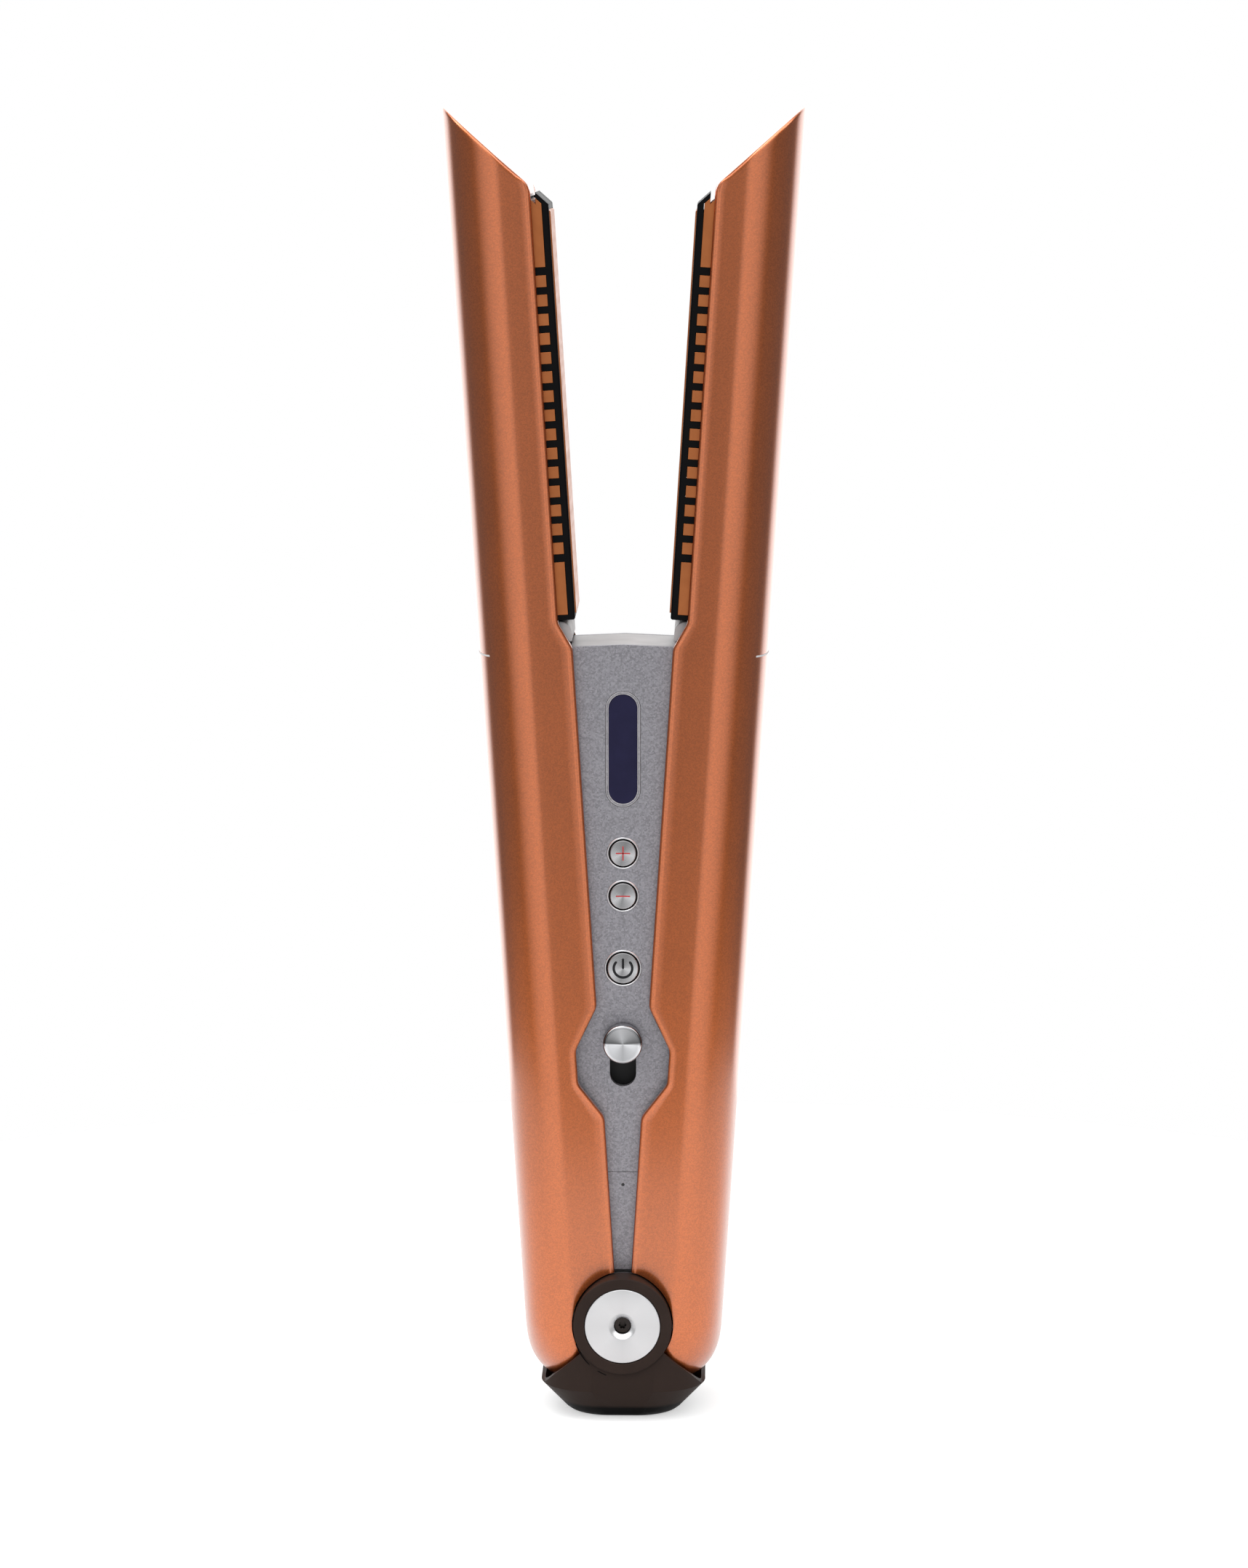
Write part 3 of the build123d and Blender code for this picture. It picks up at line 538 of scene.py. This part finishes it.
def arm_sizes(h):
    """Outer position, crease position and half depth at a height above the hub."""
    if h >= 0:
        share = h / TIP_H
        out = OUT_HUB + (OUT_TIP - OUT_HUB) * share
        return out, CREASE_HUB + (CREASE_TIP - CREASE_HUB) * share, ARM_DEPTH
    width = (1 - (-h / HEEL_DROP) ** 3) ** (1 / 3)
    depth = ARM_DEPTH * math.sqrt(1 - (h / HEEL_DEPTH_DROP) ** 2)
    return OUT_HUB * width, CREASE_HUB * width, depth


def bezier(a, b, c, steps):
    return [tuple((1 - t) ** 2 * p + 2 * t * (1 - t) * q + t * t * r for p, q, r in zip(a, b, c))
            for t in (k / steps for k in range(steps + 1))]


def half_section(h, lip, inset):
    """Front half of the outline (x, depth from the middle) from the lip to the outermost line."""
    out, crease, depth = arm_sizes(h)
    fullness = BACK_FULLNESS
    if h < 0:
        fullness = HEEL_FULLNESS + (BACK_FULLNESS - HEEL_FULLNESS) * (1 + h / HEEL_CUT) ** 2
    rise = math.hypot(1, FACET_SLOPE)
    facet = Vector((1 / rise, FACET_SLOPE / rise))
    corner = Vector((lip, depth - FACET_SLOPE * (crease - lip)))
    fold = Vector((crease, depth))
    if inset:
        out, depth = out - inset, depth - inset
        corner.y -= inset
        fold.y -= inset
        points = [tuple(corner)] * (LIP_STEPS + 1)
    else:
        points = [(corner.x + x, corner.y + y) for x, y in BEAD]
    first = Vector(points[-1])
    last = fold - facet * CREASE_R
    points += [tuple(first.lerp(last, k / FACET_STEPS)) for k in range(1, FACET_STEPS)]
    bulge = out - crease
    first_t = CREASE_R / (3 * fullness * bulge)
    back = []
    for k in range(BACK_STEPS + 1):
        t = first_t + (1 - first_t) * k / BACK_STEPS
        along = 3 * t * (1 - t) ** 2 * fullness + 3 * t * t * (1 - t) + t ** 3
        u = 1 - t
        down = 3 * u * (1 - u) ** 2 * fullness + 3 * u * u * (1 - u) + u ** 3
        back.append((crease + bulge * along, depth * down))
    points += bezier(last, fold, back[0], CREASE_STEPS)
    return points + back[1:]


def row_heights():
    """Close rows where the lip bends and at the heel, wide ones between."""
    rows = []
    for low, high, steps in ROW_ZONES:
        rows += [low + (high - low) * k / steps for k in range(steps)]
    return rows + [ROW_TOP]


def columns(lip, inset, end_offset):
    """Points (x, depth, h) of each column of the outline, from the heel to the slanted end."""
    hs, xs = lip
    rows = row_heights()
    grid = [half_section(h, float(np.interp(h, hs, xs)), inset) for h in rows]
    grid = [[(x, d, h) for x, d in section] for section, h in zip(grid, rows)]
    for k in range(1, END_STEPS + 1):
        row = []
        for i, (x, _, h0) in enumerate(grid[len(rows) - 1]):
            h = h0
            for _ in range(END_TRIES):
                goal = NOSE_H + end_offset + x
                h = rows[-1] + (goal - rows[-1]) * k / END_STEPS
                x, depth = half_section(h, float(np.interp(h, hs, xs)), inset)[i]
            row.append((x, depth, h))
        grid.append(row)
    return np.array(grid)


def end_round(grid):
    """Rows that roll the outer surface over into the slanted end face."""
    edge, below = grid[-1], grid[-2]
    down = below - edge
    down /= np.linalg.norm(down, axis=1)[:, None]
    along = np.gradient(edge, axis=0)
    normal = np.array((-1, 0, 1)) / math.sqrt(2)
    inward = np.cross(along, normal)
    inward /= np.linalg.norm(inward, axis=1)[:, None]
    inward *= np.where(inward @ np.array(END_INWARD) < 0, -1, 1)[:, None]
    inward[:LIP_STEPS + 3] = (0, -1, 0)
    inward[-1] = np.array((-1, 0, -1)) / math.sqrt(2)
    for _ in range(ROUND_SMOOTHING):
        inward[1:-1] = (inward[:-2] + inward[1:-1] + inward[2:]) / 3
    inward /= np.linalg.norm(inward, axis=1)[:, None]
    start, end = edge + down * TIP_R, edge + inward * TIP_R
    end[:, 1] = np.maximum(end[:, 1], 0)
    rows = []
    for k in range(ROUND_STEPS + 1):
        t = k / ROUND_STEPS
        rows.append(start * (1 - t) ** 2 + edge * 2 * t * (1 - t) + end * t ** 2)
    return np.concatenate([grid[:-1], np.array(rows)])


def rung_grid(front, rear):
    """Points across an end face between two matching curves; rear depths are negative."""
    t = np.linspace(0, 1, RUNGS + 1)[:, None, None]
    return front[None] * (1 - t) + rear[None] * t


def shell_grids():
    """All surface patches of the closed right arm's shell, as arrays of (x, depth to -Y, h)."""
    front = end_round(columns(lip_line(FRONT_LIP, FRONT_LIP_R), 0, 0))
    rear = end_round(columns(lip_line(REAR_LIP, REAR_LIP_R), 0, 0)) * (1, -1, 1)
    inner_end = -WALL * math.sqrt(2)
    inner_front = columns(lip_line(FRONT_LIP, FRONT_LIP_R), WALL, inner_end)
    inner_rear = columns(lip_line(REAR_LIP, REAR_LIP_R), WALL, inner_end) * (1, -1, 1)
    outer_face = rung_grid(front[-1], rear[-1])
    inner_face = rung_grid(inner_front[-1], inner_rear[-1])
    patches = [front, rear, inner_front, inner_rear, outer_face, inner_face]
    patches.append(np.stack([front[0], inner_front[0]]))
    patches.append(np.stack([rear[0], inner_rear[0]]))
    extra = len(front) - len(inner_front)
    for outer, inner in ((front, inner_front), (rear, inner_rear)):
        wall = inner[:, 0]
        wall = np.concatenate([wall, np.repeat(wall[-1:], extra, axis=0)])
        patches.append(np.stack([outer[:, 0], wall]))
    patches.append(np.stack([outer_face[:, 0], inner_face[:, 0]]))
    return patches


def place_arm(x, y, h, side):
    """From the closed right arm's millimetres to the open arm in metres; side is 1 or -1."""
    turned_x = x * math.cos(OPEN) + h * math.sin(OPEN)
    turned_z = h * math.cos(OPEN) - x * math.sin(OPEN)
    return (side * turned_x * MM, y * MM, turned_z * MM + HUB.z)


def build_shell(side, name, node):
    verts, faces = [], []
    for patch in shell_grids():
        start = len(verts)
        rows, count = patch.shape[:2]
        verts += [place_arm(x, -depth, h, side) for x, depth, h in patch.reshape(-1, 3)]
        for i in range(rows - 1):
            for j in range(count - 1):
                a = start + i * count + j
                faces.append((a, a + 1, a + count + 1, a + count))
    obj = mesh_object(name, verts, faces, sharp=SHELL_SHARP, merge=SHELL_MERGE)
    cut_hub(obj, side)
    return piece(obj, node.replace("_shell", ""), "copper_shell", MATERIALS["copper_shell"], node)


def cut_hub(obj, side):
    """Room for the hub ring and, below it, for the spine's foot."""
    deep = RING_ROOM_DEPTH
    profile = [(0, -deep), (RING_ROOM, -deep), (RING_ROOM, deep), (0, deep)]
    ring = lathe("cutter_ring", profile, HUB, steps=160)
    box_x = sorted(side * x * MM for x in FOOT_ROOM_X)
    corners = [(x, y, HUB.z + z * MM) for x in box_x for y in (-FOOT_ROOM_Y * MM, FOOT_ROOM_Y * MM)
               for z in FOOT_ROOM_Z]
    sides = [(0, 1, 3, 2), (4, 6, 7, 5), (0, 4, 5, 1), (2, 3, 7, 6), (0, 2, 6, 4), (1, 5, 7, 3)]
    foot = mesh_object("cutter_foot", corners, sides)
    for cutter in (ring, foot):
        step = obj.modifiers.new("cut", "BOOLEAN")
        step.operation = "DIFFERENCE"
        step.solver = "EXACT"
        step.object = cutter
        settle(obj)
        bpy.data.objects.remove(cutter)
    shade(obj, SHELL_SHARP)


# ---- hub, controls and marks ---------------------------------------------------------------------
HUB_RING = [(8.66, 5.6), (8.66, 0.25), (8.71, 0.09), (8.85, 0.01), (9.0, 0.0), (10.72, 0.0),
            (10.92, 0.04), (11.04, 0.15), (11.09, 0.3), (11.1, 0.5), (11.1, 5.6), (8.66, 5.6)]
HUB_DISC = [(1.9, 1.8), (1.9, 0.86), (1.96, 0.74), (2.9, 0.12), (3.02, 0.04), (3.2, 0.0),
            (8.28, 0.0), (8.4, 0.03), (8.56, 0.16), (8.6, 0.26), (8.6, 1.8), (1.9, 1.8)]
KNOB = [(0, 0.4), (0.9, 0.38), (1.8, 0.31), (2.6, 0.2), (3.3, 0.06), (3.5, 0.01), (3.68, 0.0),
        (3.9, 0.04), (4.12, 0.16), (4.28, 0.34), (4.37, 0.52), (4.4, 0.72), (4.4, 3.7), (4.3, 3.95),
        (4.05, 4.09), (2.55, 4.1), (2.55, 7.0), (0, 7.0)]
COLLAR_GAP = 0.3
GAP_DEEP = 0.42
GAP_SHADE_FLOOR = 0.4         # thickness of the dark floor in a button's gap, which paints the gap's shade
GAP_CLEAR = 0.01
BUTTON_FLANGE = 0.55
DISH = 0.055            # depth of a button's face where its mark lies
ICON_LIFT = 0.012
PLUS_HALF = 1.5
PLUS_WIDTH = 0.27
POWER_R = 2.08
POWER_ARC_WIDTH = 0.56
POWER_STEM_WIDTH = 0.52
POWER_GAP = 100         # degrees left open at the top of the power mark
POWER_STEPS = 40


def button_profile(r):
    """Slightly dished cap with a rounded edge, then its flange and stem."""
    wide = r + BUTTON_FLANGE
    return [(0, 0.07), (r * 0.4, DISH), (r * 0.7, 0.025), (r - 0.36, 0.0), (r - 0.22, 0.012),
            (r - 0.09, 0.07), (r - 0.02, 0.17), (r, 0.3), (r, 2.05), (wide, 2.05), (wide, 2.4),
            (1.3, 2.4), (1.3, 2.6), (0, 2.6)]


def gap_shade_profile(r):
    """Dark floor of the gap round a button, behind the panel's face: painted shade for the gap."""
    inner, outer = r + GAP_CLEAR, r + COLLAR_GAP - GAP_CLEAR
    near, far = GAP_DEEP, GAP_DEEP + GAP_SHADE_FLOOR
    return [(inner, near), (outer, near), (outer, far), (inner, far), (inner, near)]


def build_hub():
    for end, facing in (("front", -1), ("rear", 1)):
        turned("hub_ring_skin_" + end, "hub_ring_" + end, "spine", "cap_dark", HUB_RING, facing)
        turned("contact_disc_skin_" + end, "contact_disc_" + end, "spine", "contact_silver",
               HUB_DISC, facing)


def icon(name, node, body, path, width, mat):
    """Printed mark on a button's face."""
    low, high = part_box(node)
    centre = Vector(((low.x + high.x) / 2, low.y, (low.z + high.z) / 2))
    obj = ribbon(name, path, width, DISH, DISH + ICON_LIFT, centre)
    return piece_without_slot(obj, body, mat)


def piece_without_slot(obj, body, mat):
    """Mark or icon, which stands for no CAD node."""
    obj.data.materials.append(mat)
    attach(obj, body)
    return obj


def build_controls():
    for node, body in (("plus_button", "plus_key"), ("minus_button", "minus_key"),
                       ("power_button", "power_key")):
        low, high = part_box(node)
        r = (high.x - low.x) / MM / 2 - BUTTON_FLANGE
        turned(node + "_skin", node, body, "button_metal", button_profile(r))
        # painted shade: a near-black floor in each button's gap stands for the shade in it
        turned(node + "_gap_shade", node, "spine", "black_moulding", gap_shade_profile(r), shown_for=False,
               mat=JOINT_DARK_AND_SHADE)
    turned("lock_knob_skin", "lock_knob", "sliding_lock", "lock_chrome", KNOB)
    bar = [(-PLUS_HALF, 0), (PLUS_HALF, 0)]
    post = [(0, -PLUS_HALF), (0, PLUS_HALF)]
    stem = [(0, 2.0), (0, 0.1)]
    start = 90 + POWER_GAP / 2
    turns = [math.radians(start + (360 - POWER_GAP) * k / POWER_STEPS)
             for k in range(POWER_STEPS + 1)]
    arc = [(POWER_R * math.cos(a), POWER_R * math.sin(a)) for a in turns]
    icon("plus_icon_bar", "plus_button", "plus_key", bar, PLUS_WIDTH, MARK_RED)
    icon("plus_icon_post", "plus_button", "plus_key", post, PLUS_WIDTH, MARK_RED)
    icon("minus_icon", "minus_button", "minus_key", bar, PLUS_WIDTH, MARK_RED)
    icon("power_icon_arc", "power_button", "power_key", arc, POWER_ARC_WIDTH, MARK_BLACK)
    icon("power_icon_stem", "power_button", "power_key", stem, POWER_STEM_WIDTH, MARK_BLACK)


BEZEL_INNER = 3.2
BEZEL_OUTER = 3.95
BEZEL_DEEP = 1.9
BEZEL_LINES = (("inner", 3.24, 3.33), ("outer", 3.74, 3.81))    # name, inner and outer radius
LINE_CREST = 0.02       # half width and depth of a bright line's crest
LINE_EDGE = 0.1


def build_display():
    """Grey band round the window, with a bright line near each of its edges."""
    low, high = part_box("display_bezel")
    run = (high.z - low.z) / MM / 2 - BEZEL_OUTER
    band = [(BEZEL_INNER, BEZEL_DEEP), (BEZEL_INNER, 0.22), (BEZEL_INNER + 0.05, 0.1),
            (BEZEL_INNER + 0.12, 0.05), (3.72, 0.06), (3.82, 0.1), (3.88, 0.2), (3.93, 0.24),
            (BEZEL_OUTER, 0.26), (BEZEL_OUTER, BEZEL_DEEP), (BEZEL_INNER, BEZEL_DEEP)]
    turned("display_bezel_skin", "display_bezel", "spine", "bezel_metal", band, run=run,
           mat=MATERIALS["panel_grey"])
    for name, inner, outer in BEZEL_LINES:
        middle = (inner + outer) / 2
        line = [(inner, LINE_EDGE), (middle - LINE_CREST, LINE_CREST),
                (middle + LINE_CREST, LINE_CREST), (outer, LINE_EDGE)]
        turned("display_line_" + name, "display_bezel", "spine", "bezel_metal", line, run=run,
               shown_for=False, mat=MARK_PALE)


SEAM_Z = 56.4
SEAM_HALF = 4.72
SEAM_WIDTH = 0.11
MARK_SINK = 0.05        # a mark starts this far behind its face
SEAM_LIFT = 0.056
TICK_H = 152.9
TICK_X = 19.7
TICK_HALF = 0.2
TICK_LIP = 1.4          # lip position at that height
TICK_LIFT = 0.04        # proud of the shell, along its surface normal
# the gap between hub ring and cap, drawn as a dark arc at its lower left only: real gap, painted shade
GROOVE_TURN = (203, 252)        # degrees round the hub
GROOVE_R = (11.35, 12.1)
GROOVE_WIDTH = 0.22
GROOVE_STEPS = 24
GROOVE_SINK = 0.3
GROOVE_SHY = 0.03       # the groove stops this far behind the cap's foremost point


def build_marks():
    """Panel seam, a tick on each arm, and the hub ring's gap as a dark arc with painted shade."""
    face = PANEL_Y / MM
    seam = ribbon("panel_seam", [(-SEAM_HALF, 0), (SEAM_HALF, 0)], SEAM_WIDTH, face + MARK_SINK,
                  SEAM_LIFT, Vector((0, 0, SEAM_Z * MM)))
    piece_without_slot(seam, "spine", JOINT_DARK_AND_SHADE)
    for side, arm in ((-1, "left_arm"), (1, "right_arm")):
        verts, faces = [], []
        line = np.array(half_section(TICK_H, TICK_LIP, 0))
        along = np.gradient(line, axis=0)
        outward = np.stack([-along[:, 1], along[:, 0]], axis=1)
        outward /= np.linalg.norm(outward, axis=1)[:, None]
        line = (line + outward * TICK_LIFT)[line[:, 0] > TICK_X].tolist()
        for x, depth in line:
            for h in (TICK_H - TICK_HALF, TICK_H + TICK_HALF):
                verts.append(place_arm(x, -depth, h, side))
        for k in range(len(line) - 1):
            faces.append((2 * k, 2 * k + 1, 2 * k + 3, 2 * k + 2))
        tick = mesh_object(arm + "_tick", verts, faces)
        piece_without_slot(tick, arm, MARK_PALE)
    path = []
    for k in range(GROOVE_STEPS + 1):
        share = k / GROOVE_STEPS
        a = math.radians(GROOVE_TURN[0] + (GROOVE_TURN[1] - GROOVE_TURN[0]) * share)
        radius = GROOVE_R[0] + (GROOVE_R[1] - GROOVE_R[0]) * share
        path.append((radius * math.cos(a), radius * math.sin(a)))
    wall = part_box("base_cap")[0].y / MM
    # painted shade: a dark arc on the cap along the lower left of the hub ring's gap
    groove = ribbon("cap_groove_painted_shade", path, GROOVE_WIDTH, wall + GROOVE_SINK, GROOVE_SINK - GROOVE_SHY,
                    Vector((0, 0, HUB.z)))
    piece_without_slot(groove, "spine", JOINT_DARK_AND_SHADE)


def build_rounded():
    """CAD pieces whose edges are softened where they show."""
    rows = [("front_panel", 0.12, "spine", "panel_grey"),
            ("rear_panel", 0.12, "spine", "panel_grey"),
            ("spine_top_cap", 0.12, "spine", "grey_moulding"),
            ("base_cap", 0.14, "spine", "cap_dark")]
    for side in ("left_", "right_"):
        rows.append((side + "inner_cover", 0.25, side + "arm", "grey_moulding"))
        rows.append((side + "plate", 0.05, side + "plate_carrier", "copper_plate"))
        rows.append((side + "plate_frame", 0.08, side + "plate_carrier", "plate_carrier_black"))
    for node, width, body, slot in rows:
        # the base cap takes the plastic with painted shade along its lower edge
        mat = CAP_PLASTIC_SHADED if node == "base_cap" else MATERIALS[slot]
        rounded_from(node, node + "_skin", width, body, slot, mat)


# ---- stage --------------------------------------------------------------------------------------
CAMERA_PLACE = Vector((0.019, -1.0, 0.290))
CAMERA_PITCH = math.radians(8.354)
LENS = 102.88
FLOOR_R = 0.32
FLOOR_GLOW = 0.2        # what the object reflects
FLOOR_GLOW_SEEN = 0.5   # what the camera sees
FLOOR_SHADE = 0.60
FLOOR_SIDES = 96
FLOOR_DROP = 0.0002     # clearance under the object
KEY_PLACE = (-0.5, 0.1, 1.8)
KEY_SIZE = 1.4
KEY_POWER = 13
ROOM_LIGHT = 0.12
TOP_PANEL = (60, 25, 0.6)       # overhead: outer and inner half angle, brightness
SENSOR = 36
# soft panels round the object: azimuth from the camera's side, elevation, outer and inner half angle
# in degrees, and brightness
PANELS = ((0, 0, 54, 6, 0.80), (85, 0, 46, 15, 0.12), (-85, 0, 46, 15, 0.12),
          (180, 0, 52, 32, 1.4), (0, 52, 32, 14, 1.6), (72, 46, 28, 12, 2.4),
          (-72, 46, 28, 12, 2.4))


def camera():
    data = bpy.data.cameras.new("camera")
    data.lens = LENS
    data.sensor_width = SENSOR
    data.sensor_fit = "AUTO"
    cam = bpy.data.objects.new("camera", data)
    bpy.context.scene.collection.objects.link(cam)
    yaw = math.atan2(CAMERA_PLACE.x, -CAMERA_PLACE.y)
    forward = Vector((-math.sin(yaw) * math.cos(CAMERA_PITCH),
                      math.cos(yaw) * math.cos(CAMERA_PITCH), -math.sin(CAMERA_PITCH)))
    cam.location = CAMERA_PLACE
    cam.rotation_euler = forward.to_track_quat("-Z", "Y").to_euler()
    bpy.context.scene.camera = cam


def floor():
    turns = [2 * math.pi * k / FLOOR_SIDES for k in range(FLOOR_SIDES)]
    verts = [(FLOOR_R * math.cos(a), FLOOR_R * math.sin(a), -FLOOR_DROP) for a in turns]
    obj = mesh_object("floor", verts, [tuple(range(FLOOR_SIDES))])
    paint = Paint("floor_white", 0.8)
    paint.mottle([FLOOR_SHADE] * 3, 0.01, paint.noise(8, 2))
    paint.set("Emission Color", (1, 1, 1, 1))
    seen = paint.nodes.new("ShaderNodeLightPath").outputs["Is Camera Ray"]
    glow = paint.spread(seen, FLOOR_GLOW, FLOOR_GLOW_SEEN, 0.0, 1.0)
    paint.links.new(glow, paint.shader.inputs["Emission Strength"])
    obj.data.materials.append(paint.material)


def area_light(name, place, target, size, power):
    data = bpy.data.lights.new(name, "AREA")
    data.shape = "RECTANGLE"
    data.size = data.size_y = size
    data.energy = power
    obj = bpy.data.objects.new(name, data)
    bpy.context.scene.collection.objects.link(obj)
    obj.location = place
    obj.rotation_euler = (Vector(target) - Vector(place)).to_track_quat("-Z", "Y").to_euler()


def studio():
    """Even white sweep to the camera, with soft panels in front, behind and overhead."""
    world = bpy.data.worlds.new("studio")
    world.use_nodes = True
    nodes, links = world.node_tree.nodes, world.node_tree.links
    back = nodes["Background"]
    coord = nodes.new("ShaderNodeTexCoord").outputs["Generated"]
    panels = []
    for azimuth, elevation, edge, full, power in PANELS:
        a, up = math.radians(azimuth), math.radians(elevation)
        direction = (math.sin(a) * math.cos(up), -math.cos(a) * math.cos(up), math.sin(up))
        panels.append((direction, edge, full, power))
    panels.append(((0, 0, 1), *TOP_PANEL))
    total = None
    for direction, edge, full, power in panels:
        dot = nodes.new("ShaderNodeVectorMath")
        dot.operation = "DOT_PRODUCT"
        dot.inputs[1].default_value = Vector(direction).normalized()
        links.new(coord, dot.inputs[0])
        ramp = nodes.new("ShaderNodeMapRange")
        ramp.interpolation_type = "SMOOTHSTEP"
        limits = {"From Min": math.cos(math.radians(edge)),
                  "From Max": math.cos(math.radians(full)), "To Min": 0, "To Max": power}
        for key, number in limits.items():
            ramp.inputs[key].default_value = number
        links.new(dot.outputs["Value"], ramp.inputs["Value"])
        add = nodes.new("ShaderNodeMath")
        add.inputs[0].default_value = ROOM_LIGHT
        if total is not None:
            links.new(total, add.inputs[0])
        links.new(ramp.outputs["Result"], add.inputs[1])
        total = add.outputs["Value"]
    path = nodes.new("ShaderNodeLightPath")
    mix = nodes.new("ShaderNodeMix")
    mix.data_type = "FLOAT"
    links.new(path.outputs["Is Camera Ray"], mix.inputs["Factor"])
    links.new(total, mix.inputs["A"])
    mix.inputs["B"].default_value = 1.0
    links.new(mix.outputs["Result"], back.inputs["Strength"])
    back.inputs["Color"].default_value = (1, 1, 1, 1)
    bpy.context.scene.world = world
    area_light("key", KEY_PLACE, (0, 0, 0), KEY_SIZE, KEY_POWER)
    view = bpy.context.scene.view_settings
    view.view_transform = "Standard"
    view.look = "None"


# ---- build --------------------------------------------------------------------------------------
dress_frame()
build_shell(-1, "left_shell_skin", "left_arm_shell")
build_shell(1, "right_shell_skin", "right_arm_shell")
build_rounded()
build_hub()
build_controls()
build_display()
build_marks()
camera()
floor()
studio()
